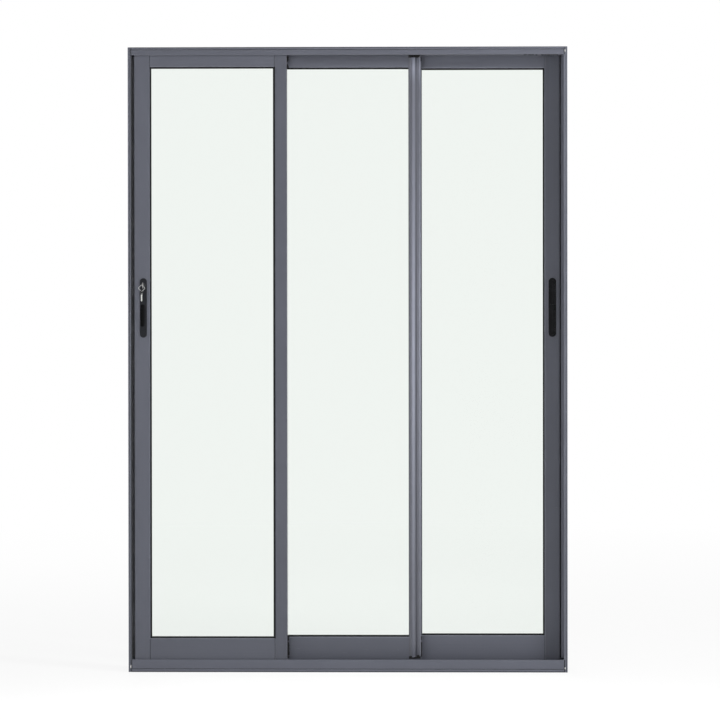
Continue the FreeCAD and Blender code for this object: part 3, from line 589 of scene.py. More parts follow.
@dataclass(frozen=True)
class Pile(Finish):
    """Dark brush pile whose fibres lie side by side."""

    comb: Point3 = (1300.0, 160.0, 160.0)

    def sockets(self, graph: ShaderGraph) -> Sockets:
        """Return what feeds the pile's shader.

        Args:
            graph: the material's node tree.

        Returns:
            An entry for each socket of the shader.
        """
        place = graph.place()
        fibre = graph.noise(place, self.comb, 3.0, 0.7)
        lint = graph.noise(place, 90.0, 3.0).over(0.60, 0.80)
        dark = self.tones(graph, fibre, 0.5, 1.6)
        return {
            "Base Color": graph.mix(lint * 0.4, dark, shade(self.colour, 3.2)),
            "Roughness": self.roughness + (fibre - 0.5) * 0.1,
            "Specular IOR Level": 0.2,
            "Normal": graph.relief(fibre, 0.4),
        }


WHITE = (1.0, 1.0, 1.0, 1.0)
DUST = (0.26, 0.26, 0.255, 1.0)
GREY = (0.076, 0.080, 0.099)
BLACK = (0.0055, 0.0058, 0.0070)
PILE_BLACK = (0.014, 0.014, 0.015)
BARREL_MIDDLE = (-698.0, 1322.0)
KEY_BRUSH = (900.0, 900.0, 120.0)
SCREW_BRUSH = (500.0, 500.0, 500.0)
WIRE_BRUSH = (300.0, 300.0, 300.0)
UPRIGHT_COMB = (160.0, 160.0, 1300.0)

# On these coats the chamfer share paints a highlight on faces slanted halfway to the front
COAT_UPRIGHT = PowderCoat("grey_coat_upright", GREY, 0.60, rub_and_sheen=0.6)
COAT_LEVEL = PowderCoat("grey_coat_level", GREY, 0.60, Run.LEVEL, rub_and_sheen=0.6)
# Lighter and darker copies of the grey coat: painted light on the edging, the jambs, the sill and the right
# panel's rails, painted shade on the left post and the right lock stile
COAT_TRIM_PAINTED_LIT = PowderCoat("grey_coat_trim_painted_lit", shade(GREY, 1.2)[:3], 0.50, Run.LEVEL)
COAT_JAMB_PAINTED_LIT = PowderCoat("grey_coat_jamb_painted_lit", shade(GREY, 1.30)[:3], 0.60, rub_and_sheen=0.6)
COAT_PAINTED_LIT = PowderCoat("grey_coat_painted_lit", shade(GREY, 1.14)[:3], 0.60, Run.LEVEL, rub_and_sheen=0.6)
COAT_PAINTED_SHADE = PowderCoat("grey_coat_painted_shade", shade(GREY, 0.88)[:3], 0.60, rub_and_sheen=0.6)
# The cover's coat is a lighter copy of the grey coat, painted light from above, and gets the proud part's
# painted highlight and shade
COAT_COVER = PowderCoat("grey_coat_cover", (0.084, 0.088, 0.108), 0.32, shine=0.45, proud=(14.6, 18.2))
# Lighter finish for the coats' broken edges: partly edge wear, partly a painted highlight where edges catch
# light
COAT_EDGE = PowderCoat("grey_coat_edge_wear_and_highlight", (0.150, 0.156, 0.180), 0.36, wear=0.1)
PANE_GLASS = FloatGlass("float_glass", (0.865, 0.905, 0.872), 0.0)
GASKET = Rubber("black_gasket_rubber", (0.0075, 0.008, 0.009), 0.70)
BUFFER_RUBBER = Rubber("grey_buffer_rubber", (0.050, 0.050, 0.052), 0.70)
# Dark sealant for real joints, also used for the frame's strips of painted shade
SEALANT_AND_SHADE = Rubber("dark_sealant_and_painted_shade", (0.016, 0.017, 0.019), 0.65)
# The left fin's rubber is made pale, as painted light in the slot between the jamb's lip and the panel
FIN_RUBBER_PAINTED_LIT = Rubber("fin_rubber_painted_lit", (0.100, 0.103, 0.114), 0.70)
LACQUER = Lacquer("black_lacquer", BLACK, 0.40)
# The lock plate's recesses get painted shade behind its face
LACQUER_PLATE = Lacquer("black_lacquer_plate", BLACK, 0.40, face=60.4)
# Lighter lacquer for the plates' broken edges and the rosette: partly rub wear, partly a painted highlight
LACQUER_EDGE = Lacquer("black_lacquer_edge_wear_and_highlight", (0.020, 0.021, 0.025), 0.30, rub_and_sheen=0.2)
BLACK_NICKEL = TurnedMetal("black_nickel", (0.075, 0.075, 0.08), 0.34, BARREL_MIDDLE)
KEY_METAL = BrushedMetal("plated_key", (0.52, 0.52, 0.51), 0.34, KEY_BRUSH)
SPARE_KEY = HeadedKey("plated_key_with_head", (0.80, 0.80, 0.79), 0.26, KEY_BRUSH, head_low=1290.4)
RING_WIRE = BrushedMetal("sprung_wire", (0.62, 0.62, 0.62), 0.34, WIRE_BRUSH)
STEEL = BrushedMetal("brushed_steel", (0.50, 0.50, 0.49), 0.32)
ZINC = BrushedMetal("zinc_screw", (0.56, 0.56, 0.54), 0.30, SCREW_BRUSH)
DARK_STEEL = BrushedMetal("darkened_steel", (0.080, 0.080, 0.083), 0.52)
DARK_SCREW = BrushedMetal("darkened_screw", (0.070, 0.070, 0.072), 0.50, SCREW_BRUSH)
BARE_METAL_GLINT = BrushedMetal("bare_aluminium_glint", (0.74, 0.74, 0.74), 0.42, WIRE_BRUSH)
CARRIAGE = MouldedPlastic("dark_moulded_plastic", (0.030, 0.031, 0.034), 0.48)
NYLON = MouldedPlastic("pale_nylon", (0.62, 0.60, 0.53), 0.40)
SEAL_END = MouldedPlastic("grey_seal_end", (0.26, 0.26, 0.27), 0.50)
PILE = Pile("brush_pile", PILE_BLACK, 0.85)
PILE_UPRIGHT = Pile("brush_pile_upright", PILE_BLACK, 0.85, UPRIGHT_COMB)
PILE_GREY = Pile("grey_brush_pile", (0.055, 0.057, 0.062), 0.85, UPRIGHT_COMB)


# Forms


def moved(point: Point3, offset: Point3) -> Point3:
    """Return a point moved by an offset."""
    return tuple(a + b for a, b in zip(point, offset))


def swapped(outline: Sequence[Point2]) -> list[Point2]:
    """Return an outline with its two measures swapped."""
    return [(second, first) for first, second in outline]


def strip(low: float, high: float, near: float, far: float, broken: float = 0.1) -> list[Point2]:
    """Return the outline of a strip with two broken corners.

    Args:
        low: where it starts across its run.
        high: where it ends across its run.
        near: the Y of its square side.
        far: the Y of its side with the broken corners.
        broken: width of the broken corners.

    Returns:
        Pairs of place across the run and place in Y.
    """
    return [(low, near), (high, near), (high - broken, far), (low + broken, far)]


class Solid:
    """The closed forms of one piece, gathered in millimetres."""

    SHARP = math.radians(38.0)

    def __init__(self) -> None:
        """Start with no corners and no faces."""
        self.corners: list[Point3] = []
        self.faces: list[tuple[int, ...]] = []

    def rings(self, rings: Sequence[Sequence[Point3]], endless: bool = False) -> "Solid":
        """Join rings of equal length by strips of faces.

        Args:
            rings: the rings, each a list of corners.
            endless: whether the last ring joins the first; both ends are closed otherwise.

        Returns:
            This solid.
        """
        start = len(self.corners)
        count = len(rings[0])
        for ring in rings:
            self.corners.extend(ring)
        for row in range(len(rings) if endless else len(rings) - 1):
            here = start + row * count
            there = start + (row + 1) % len(rings) * count
            for i in range(count):
                j = (i + 1) % count
                self.faces.append((here + i, here + j, there + j, there + i))
        if not endless:
            last = start + (len(rings) - 1) * count
            self.faces.append(tuple(range(start, start + count)))
            self.faces.append(tuple(range(last, last + count)))
        return self

    def drawn(self, outline: Sequence[Point2], axis: Axis, low: float, high: float) -> "Solid":
        """Draw an outline, given on the other two axes, out along an axis from low to high."""
        return self.rings([[axis.place(at, u, v) for u, v in outline] for at in (low, high)])

    def turned(
        self, middle: Point3, axis: Axis, profile: Sequence[Point2], steps: int = 28, hollow: bool = False
    ) -> "Solid":
        """Turn a profile about an axis.

        Args:
            middle: the point that the profile's measures start from.
            axis: the axis that it turns about.
            profile: pairs of radius and measure along the axis.
            steps: number of flats round it.
            hollow: whether the profile is closed and leaves a hole; both ends are flat otherwise.

        Returns:
            This solid.
        """
        angles = [math.tau * i / steps for i in range(steps)]
        rings = []
        for radius, along in profile:
            ring = [axis.place(along, radius * math.cos(a), radius * math.sin(a)) for a in angles]
            rings.append([moved(middle, offset) for offset in ring])
        return self.rings(list(zip(*rings)) if hollow else rings, hollow)

    def surround(self, low: Point2, high: Point2, section: Sequence[Point2]) -> "Solid":
        """Run a section round an upright rectangle, mitred at the corners.

        Args:
            low: lower left corner in X and Z.
            high: upper right corner in X and Z.
            section: corners of the section, as pairs of inset from the rectangle and place in Y.

        Returns:
            This solid.
        """
        rings = []
        for right, top in ((0, 0), (1, 0), (1, 1), (0, 1)):
            ring = []
            for inset, depth in section:
                x = high[0] - inset if right else low[0] + inset
                z = high[1] - inset if top else low[1] + inset
                ring.append((x, depth, z))
            rings.append(ring)
        return self.rings(rings, endless=True)

    def mesh(self, name: str) -> bpy.types.Mesh:
        """Make the mesh, with its faces turned outward and its edges sharp where they should be.

        Args:
            name: the mesh's name.

        Returns:
            The mesh, in metres.
        """
        made = bpy.data.meshes.new(name)
        made.from_pydata([Vector(c) * MILLIMETRE for c in self.corners], [], self.faces)
        form = bmesh.new()
        form.from_mesh(made)
        bmesh.ops.recalc_face_normals(form, faces=form.faces)
        for face in form.faces:
            face.smooth = True
        form.to_mesh(made)
        form.free()
        made.set_sharp_from_angle(angle=self.SHARP)
        return made

    def piece(
        self, name: str, finish: Finish, body: Body = Body.FRAME, slot: Slot = Slot.RUBBER
    ) -> bpy.types.Object:
        """Make the object that rides on a body.

        Args:
            name: the piece's name.
            finish: its finish.
            body: the body that it moves with.
            slot: not used.

        Returns:
            The object.
        """
        made = bpy.data.objects.new(name, self.mesh(name))
        made.data.materials.append(finish.material())
        bpy.context.scene.collection.objects.link(made)
        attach(made, body.value)
        LOG.info("built %s on %s, %d faces", name, body.value, len(made.data.polygons))
        return made


def cut_away(target: bpy.types.Object, cutter: Solid) -> None:
    """Cut a form out of a built piece for good.

    Args:
        target: the piece.
        cutter: the form that is cut away.
    """
    tool = bpy.data.objects.new("cutter", cutter.mesh("cutter"))
    bpy.context.scene.collection.objects.link(tool)
    trim = target.modifiers.new("recess", "BOOLEAN")
    trim.operation = "DIFFERENCE"
    trim.solver = "EXACT"
    trim.object = tool
    graph = bpy.context.evaluated_depsgraph_get()
    shaped = bpy.data.meshes.new_from_object(target.evaluated_get(graph))
    target.modifiers.clear()
    old = target.data
    target.data = shaped
    shaped.set_sharp_from_angle(angle=Solid.SHARP)
    bpy.data.meshes.remove(old)
    bpy.data.objects.remove(tool)


# Corners nearer than the gap are joined before edges sharper than the angle are broken
WELD_GAP = 0.01
EDGE_ANGLE = math.radians(35.0)


def dress(node: str, finish: Finish, edge: Optional[Finish] = None, width: float = 0.4) -> None:
    """Give a node of the door its finish and finely broken edges.

    Args:
        node: the node's name.
        finish: its finish.
        edge: finish of the broken edges; without one the edges stay sharp.
        width: width of the broken edges, in millimetres.
    """
    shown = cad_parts[node]
    shown.data.materials.clear()
    shown.data.materials.append(finish.material())
    if edge is not None:
        shown.data.materials.append(edge.material())
        weld = shown.modifiers.new("joined_faces", "WELD")
        weld.merge_threshold = WELD_GAP * MILLIMETRE
        bevel = shown.modifiers.new("broken_edges", "BEVEL")
        bevel.width = width * MILLIMETRE
        bevel.segments = 2
        bevel.limit_method = "ANGLE"
        bevel.angle_limit = EDGE_ANGLE
        bevel.harden_normals = True
        # The broken edges take the second finish, which on coats and lacquers is lighter: partly wear, partly
        # painted highlight
        bevel.material = 1
    LOG.info("dressed %s with %s", node, finish.name)


def span(node: str) -> tuple[Point3, Point3]:
    """Return the lowest and the highest corner of a node, in millimetres."""
    low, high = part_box(node)
    return tuple(low / MILLIMETRE), tuple(high / MILLIMETRE)


@dataclass
class ScrewSet:
    """Pan-head screws with a cross recess, seated on faces that look along X."""

    radius: float = 3.4
    rise: float = 1.3
    seat: float = 0.3
    cross_length: float = 4.2
    cross_width: float = 1.1
    cross_depth: float = 0.8
    cross_over: float = 1.0
    finish: Finish = ZINC
    root: float = 0.96
    head: tuple[Point2, ...] = ((1.0, 0.0), (1.0, 0.35), (0.90, 0.68), (0.70, 0.90), (0.42, 1.0))

    def build(self, name: str, out: int, seats: Sequence[Point3], body: Body) -> None:
        """Build all screws of one piece.

        Args:
            name: the piece's name.
            out: +1 or -1, the way along X that the heads look.
            seats: where their seats are.
            body: the body that they ride on.
        """
        heads = Solid()
        crosses = Solid()
        profile = [(self.radius * self.root, -self.seat * out)]
        profile += [(self.radius * across, self.rise * along * out) for across, along in self.head]
        long, short = self.cross_length / 2, self.cross_width / 2
        cross = [
            (-long, -short), (-short, -short), (-short, -long), (short, -long),
            (short, -short), (long, -short), (long, short), (short, short),
            (short, long), (-short, long), (-short, short), (-long, short),
        ]
        chance = random.Random(len(seats) + len(name))
        for seat in seats:
            heads.turned(seat, Axis.X, profile)
            spin = chance.uniform(0.0, math.pi / 2)
            rings = []
            for along in (self.rise - self.cross_depth, self.rise + self.cross_over):
                ring = []
                for u, v in cross:
                    across = u * math.cos(spin) - v * math.sin(spin)
                    up = u * math.sin(spin) + v * math.cos(spin)
                    ring.append(moved(seat, Axis.X.place(along * out, across, up)))
                rings.append(ring)
            crosses.rings(rings)
        cut_away(heads.piece(name, self.finish, body, Slot.KEEPER), crosses)

    def pair(self, name: str, node: str, out: int, inset: float, body: Body) -> None:
        """Build two screws near the ends of an upright plate.

        Args:
            name: the piece's name.
            node: the plate's node.
            out: +1 or -1, the way along X that the heads look.
            inset: how far the screws are from the plate's ends.
            body: the body that they ride on.
        """
        low, high = span(node)
        face = high[0] if out > 0 else low[0]
        middle = (low[1] + high[1]) / 2
        seats = [(face, middle, z) for z in (low[2] + inset, high[2] - inset)]
        self.build(name, out, seats, body)


@dataclass
class BrushSeal:
    """A length of brush pile: a closed strip whose free edge is ragged."""

    step: float = 3.5
    ragged: float = 0.7
    droop: float = 1.6
    sparse: float = 0.6
    thin_end: float = 0.45
    seed: int = 11

    def level(self, solid: Solid, along: Point2, depth: Point2, rise: Point2) -> None:
        """Add a level strip along X to a solid.

        Args:
            solid: the solid that it is added to.
            along: its left and right end.
            depth: the Y of the face that it is stuck to, and the Y that its fibres reach.
            rise: the Z of its covered edge, and the Z that its free edge reaches.
        """
        (low, high), (back, front), (root, tip) = along, depth, rise
        chance = random.Random(self.seed + int(abs(low) + abs(tip)))
        count = max(2, int((high - low) / self.step))
        away = math.copysign(1.0, front - back)
        fall = math.copysign(1.0, tip - root)
        rings = []
        for i in range(count + 1):
            x = low + (high - low) * i / count
            reach = front - away * chance.uniform(0.0, self.ragged)
            first = tip - fall * chance.uniform(0.0, self.ragged * self.droop)
            second = tip - fall * chance.uniform(0.0, self.ragged * self.droop)
            rings.append([(x, back, root), (x, reach, root), (x, reach, first), (x, back, second)])
        solid.rings(rings)

    def upright(self, solid: Solid, along: Point2, reach: Point2, sides: Point2) -> None:
        """Add an upright tuft along Z to a solid.

        Args:
            solid: the solid that it is added to.
            along: its lower and upper end.
            reach: the X of its covered edge, and the X that its fibres reach.
            sides: the Y of its two sides.
        """
        (low, high), (left, right), (near, far) = along, reach, sides
        chance = random.Random(self.seed + int(low))
        count = max(3, int((high - low) / self.step))
        rings = []
        for i in range(count + 1):
            z = low + (high - low) * i / count
            width = (right - left) * (self.thin_end if i in (0, count) else 1.0)
            first = left + width * chance.uniform(self.sparse, 1.0)
            second = left + width * chance.uniform(self.sparse, 1.0)
            rings.append([(left, near, z), (first, near, z), (second, far, z), (left, far, z)])
        solid.rings(rings)


# Sub-assemblies


@dataclass
class OuterFrame:
    """Sill, head and jambs with their seals, buffers, screws and keeper."""

    half_width: float = 750.0
    half_depth: float = 66.0
    wall: float = 2.0
    edge: float = 0.5
    keeper_edge: float = 0.3
    lanes: tuple[float, ...] = (-LANE, 0.0, LANE)
    front_lip: float = 738.0
    rear_lip: float = 730.5
    seal_end: float = 736.0
    seal_reach: float = 4.4
    head_seal: Point2 = (2116.0, 2109.0)
    sill_seal: Point2 = (34.0, 41.0)
    loose_pile: tuple[Point2, ...] = ((602.0, 613.0), (616.0, 636.0), (642.0, 648.0), (661.0, 719.0))
    loose_reach: float = 2.64
    loose_rise: Point2 = (2110.0, 2104.4)
    side_seal_run: Point2 = (39.0, 2112.0)
    side_seal_cover: float = 4.5
    side_seal_free: float = 1.3
    side_seal_rise: float = 3.4
    side_seal_sink: float = 0.1
    fin_run: Point2 = (45.0, 2106.0)
    fin_sides: Point2 = (-22.9, -21.3)
    fin_root: float = 743.0
    left_fin_tip: float = 724.0
    right_fin_tip: float = 730.4
    fin_steps: int = 6
    edging_rise: float = 1.3
    edging_sink: float = 0.3
    edging_steps: int = 8
    head_edging: Point2 = (2127.1, 2132.3)
    sill_edging: Point2 = (3.0, 9.9)
    jamb_edging: Point2 = (745.4, 749.4)
    jamb_run: Point2 = (0.5, 2134.5)
    # Dark strips that paint shade: lines beside the edging and at the sill's foot, one on each jamb, and one
    # on the left lip's inner edge; the joint lines are sealant
    level_lines: tuple[Point2, ...] = ((2132.6, 2134.0), (2125.2, 2126.8), (10.2, 11.8), (1.2, 2.4))
    jamb_line: Point2 = (744.2, 744.9)
    joint_line: Point2 = (-0.4, 2.8)
    joint_runs: tuple[Point2, ...] = ((1.0, 43.0), (2108.0, 2134.0))
    lip_shade_line: Point2 = (-740.4, -737.9)
    lip_run: Point2 = (43.0, 2108.0)
    line_depth: float = 1.1
    line_rise: float = 0.06
    buffer: tuple[Point2, ...] = (
        (7.0, -0.2), (7.0, 1.6), (6.58, 2.56), (5.6, 3.36), (3.85, 3.88), (1.75, 4.0),
    )
    buffer_heights: tuple[float, ...] = (500.0, 1635.0)
    screw_heights: tuple[float, ...] = (11.0, 2125.0)
    keeper_screw_inset: float = 6.0
    # Bright flakes, partly painted glint, at three corners: X, Z, width and height
    glint_flakes: tuple[tuple[float, ...], ...] = (
        (742.4, 2120.4, 2.6, 6.0),
        (741.6, 14.4, 2.0, 4.6),
        (-742.6, 18.6, 1.7, 8.0),
    )
    chip_corners: int = 9
    chip_rise: float = 0.12
    chip_sink: float = 0.3

    def build(self) -> None:
        """Dress the frame's nodes and build its small pieces."""
        dress("sill_track", COAT_PAINTED_LIT, COAT_EDGE, self.edge)
        dress("head_track", COAT_LEVEL, COAT_EDGE, self.edge)
        for node in ("left_jamb", "right_jamb"):
            dress(node, COAT_JAMB_PAINTED_LIT, COAT_EDGE, self.edge)
        dress("left_keeper", STEEL, ZINC, self.keeper_edge)
        self.seals()
        self.side_seals()
        self.fins()
        self.edging()
        self.sealant()
        self.buffers()
        self.screws()
        self.flakes()

    def seals(self) -> None:
        """Build the brush seals inside the lips of the head and the sill."""
        face = self.half_depth - self.wall
        for side, name in FACES:
            depth = (side * face, side * (face - self.seal_reach))
            for track, rise in (("head", self.head_seal), ("sill", self.sill_seal)):
                pile = Solid()
                BrushSeal().level(pile, (-self.seal_end, self.seal_end), depth, rise)
                pile.piece("%s_%s_seal" % (track, name), PILE)
        loose = BrushSeal(step=2.0, ragged=1.2, seed=5)
        pile = Solid()
        for along in self.loose_pile:
            loose.level(pile, along, (-face, -face + self.loose_reach), self.loose_rise)
        pile.piece("head_loose_pile", PILE)

    def side_seals(self) -> None:
        """Build the brush seals on the two jamb lips that the outer panels close against."""
        face = self.half_depth - self.wall
        for (side, name), lip in zip(SIDES, (self.front_lip, self.rear_lip)):
            reach = (side * (lip + self.side_seal_cover), side * (lip - self.side_seal_free))
            sides = (side * (face - self.side_seal_rise), side * (face + self.side_seal_sink))
            pile = Solid()
            BrushSeal(sparse=0.92).upright(pile, self.side_seal_run, reach, sides)
            pile.piece("%s_jamb_seal" % name, PILE_GREY)

    def fins(self) -> None:
        """Build the fins on both jambs' front ribs, which close the slot between two lanes."""
        near, far = self.fin_sides
        middle, half = (near + far) / 2, (far - near) / 2
        kinds = (
            (self.left_fin_tip, FIN_RUBBER_PAINTED_LIT, Slot.RUBBER),
            (self.right_fin_tip, COAT_UPRIGHT, Slot.FRAME_METAL),
        )
        for (side, name), (tip, finish, slot) in zip(SIDES, kinds):
            outline = [(self.fin_root, near), (self.fin_root, far), (tip + half, far)]
            for i in range(1, self.fin_steps):
                angle = math.pi * i / self.fin_steps
                outline.append((tip + half - half * math.sin(angle), middle + half * math.cos(angle)))
            outline.append((tip + half, near))
            fin = Solid().drawn([(side * x, y) for x, y in outline], Axis.Z, *self.fin_run)
            fin.piece("%s_jamb_fin" % name, finish, Body.FRAME, slot)

    def half_round(self, low: float, high: float, out: int) -> list[Point2]:
        """Return the outline of a half-round bead on the frame's front or rear face.

        Args:
            low: where the bead starts across its run.
            high: where it ends across its run.
            out: +1 or -1, the way along Y that the face looks.

        Returns:
            Pairs of place across the run and place in Y.
        """
        face = out * self.half_depth
        middle, half = (low + high) / 2, (high - low) / 2
        root = face - self.edging_sink * out
        outline = [(high, root), (low, root)]
        for i in range(self.edging_steps + 1):
            angle = math.pi * i / self.edging_steps
            outline.append((middle - half * math.cos(angle), face + out * self.edging_rise * math.sin(angle)))
        return outline

    def edging(self) -> None:
        """Build the half-round bead that runs round the frame's outer edge, front and rear."""
        beads = Solid()
        for out, lip in ((-1, self.front_lip), (1, self.rear_lip)):
            for low, high in (self.head_edging, self.sill_edging):
                beads.drawn(swapped(self.half_round(low, high, out)), Axis.X, -lip, lip)
            for side in (-1, 1):
                low, high = sorted(side * x for x in self.jamb_edging)
                beads.drawn(self.half_round(low, high, out), Axis.Z, *self.jamb_run)
        beads.piece("frame_edging", COAT_TRIM_PAINTED_LIT, Body.FRAME, Slot.FRAME_METAL)

    def sealant(self) -> None:
        """Build the frame's dark strips: painted shade in the lines beside the edging, on the jambs and at
        the sill's foot, painted shade on the left lip's inner edge, and dark sealant in the corners' joints.
        """
        lines = Solid()
        inner, outer = self.half_depth - self.line_depth, self.half_depth + self.line_rise
        for out, lip in ((-1, self.front_lip), (1, self.rear_lip)):
            near, far = sorted((out * inner, out * outer))
            for low, high in self.level_lines:
                lines.drawn(swapped(strip(low, high, near, far)), Axis.X, -lip, lip)
            for side in (-1, 1):
                left, right = sorted(side * x for x in self.jamb_line)
                lines.drawn(strip(left, right, near, far), Axis.Z, *self.jamb_run)
                left, right = sorted(side * (lip + x) for x in self.joint_line)
                for run in self.joint_runs:
                    lines.drawn(strip(left, right, near, far), Axis.Z, *run)
        lines.drawn(strip(*self.lip_shade_line, -inner, -outer), Axis.Z, *self.lip_run)
        lines.piece("frame_shade_lines_and_sealant", SEALANT_AND_SHADE)

    def buffers(self) -> None:
        """Build the rubber buffers that stop the panels at each jamb."""
        for side, name in SIDES:
            face = side * (self.half_width - self.wall)
            profile = [(radius, -rise * side) for radius, rise in self.buffer]
            stops = Solid()
            for lane in self.lanes:
                for height in self.buffer_heights:
                    stops.turned((face, lane, height), Axis.X, profile)
            stops.piece("%s_buffers" % name, BUFFER_RUBBER)

    def screws(self) -> None:
        """Build the screws that hold the corners together and the keeper in place."""
        flat = ScrewSet(radius=4.2, rise=0.6, cross_length=4.8, cross_depth=0.45)
        for side, name in SIDES:
            seats = [(side * self.half_width, lane, z) for lane in self.lanes for z in self.screw_heights]
            flat.build("%s_corner_screws" % name, side, seats, Body.FRAME)
        small = ScrewSet(radius=3.2, rise=1.2)
        small.pair("keeper_screws", "left_keeper", 1, self.keeper_screw_inset, Body.FRAME)

    def flakes(self) -> None:
        """Build small bright flakes of bare aluminium at three of the frame's corners, which also stand in
        for glints there.
        """
        flakes = Solid()
        near, far = -self.half_depth - self.chip_rise, -self.half_depth + self.chip_sink
        chance = random.Random(3)
        for x, z, wide, tall in self.glint_flakes:
            outline = []
            for i in range(self.chip_corners):
                angle = math.tau * i / self.chip_corners
                size = chance.uniform(0.6, 1.0)
                outline.append((x + wide * size * math.cos(angle), z + tall * size * math.sin(angle)))
            flakes.drawn(outline, Axis.Y, near, far)
        flakes.piece("corner_chips", BARE_METAL_GLINT, Body.FRAME, Slot.FRAME_METAL)


@dataclass
class DoorPanel:
    """One glazed panel: stiles, rails, pane, gasket, beads and the sealant in its joints."""

    name: str
    body: Body
    lane: float
    stiles: tuple[str, str]
    edge_screws: int = 0
    edge: float = 0.4
    edge_face: float = 728.0
    joint_half: float = 0.6
    joint_depth: float = 0.5
    joint_rise: float = 0.05
    joint_inset: float = 0.3
    # Stiles given the painted-shade copy of the coat, and rails given the painted-lit copy
    painted_shade_stiles: tuple[str, ...] = ("left_meeting_stile", "right_lock_stile")
    painted_lit_rails: tuple[str, ...] = ("right_top_rail", "right_bottom_rail")
    screw_heights: tuple[float, ...] = (52.0, 98.0, 2086.0, 2111.0)
    bead: tuple[Point2, ...] = (
        (0.02, 11.8), (0.6, 11.3), (2.0, 9.6), (3.4, 7.4), (4.5, 5.2),
        (5.1, 3.2), (5.1, 3.05), (4.1, 3.05), (3.8, 6.5), (0.02, 6.5),
    )

    def build(self) -> None:
        """Dress the panel's nodes and build its beads, joints and screws."""
        for stile in self.stiles:
            dress(stile, COAT_PAINTED_SHADE if stile in self.painted_shade_stiles else COAT_UPRIGHT, COAT_EDGE, self.edge)
        for rail in self.rails():
            dress(rail, COAT_PAINTED_LIT if rail in self.painted_lit_rails else COAT_LEVEL, COAT_EDGE, self.edge)
        dress("%s_glass" % self.name, PANE_GLASS)
        dress("%s_gasket" % self.name, GASKET)
        self.beads()
        self.joints()
        if self.edge_screws:
            self.screws()

    def rails(self) -> tuple[str, str]:
        """Return the names of the top rail and the bottom rail."""
        return ("%s_top_rail" % self.name, "%s_bottom_rail" % self.name)

    def beads(self) -> None:
        """Build the wedge-shaped gasket beads that slope from the metal to both sides of the pane."""
        above, below = (span(rail) for rail in self.rails())
        low = (below[0][0], below[1][2])
        high = (above[1][0], above[0][2])
        for side, name in FACES:
            section = [(inset, self.lane + side * depth) for inset, depth in self.bead]
            ring = Solid().surround(low, high, section)
            ring.piece("%s_%s_bead" % (self.name, name), GASKET, self.body)

    def joints(self) -> None:
        """Build the sealant in the butt joints between stiles and rails, front and rear."""
        lines = Solid()
        for rail in self.rails():
            low, high = span(rail)
            for face, out in ((low[1], -1), (high[1], 1)):
                root, crown = face - out * self.joint_depth, face + out * self.joint_rise
                for x in (low[0], high[0]):
                    outline = strip(x - self.joint_half, x + self.joint_half, root, crown)
                    lines.drawn(outline, Axis.Z, low[2] + self.joint_inset, high[2] - self.joint_inset)
        lines.piece("%s_joints" % self.name, SEALANT_AND_SHADE, self.body)

    def screws(self) -> None:
        """Build the screws that go through the outer stile into the rails."""
        seats = [(self.edge_screws * self.edge_face, self.lane, z) for z in self.screw_heights]
        screws = ScrewSet(radius=4.0, rise=1.2, finish=DARK_SCREW)
        screws.build("%s_stile_screws" % self.name, self.edge_screws, seats, self.body)


@dataclass
class Rollers:
    """The roller carriages in the bottom rails."""

    carriage_edge: float = 0.3
    wheel_edge: float = 0.2

    def build(self) -> None:
        """Dress carriages and wheels."""
        for node in sorted(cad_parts):
            if "carriage" in node:
                dress(node, CARRIAGE, CARRIAGE, self.carriage_edge)
            elif "wheel" in node:
                dress(node, NYLON, NYLON, self.wheel_edge)


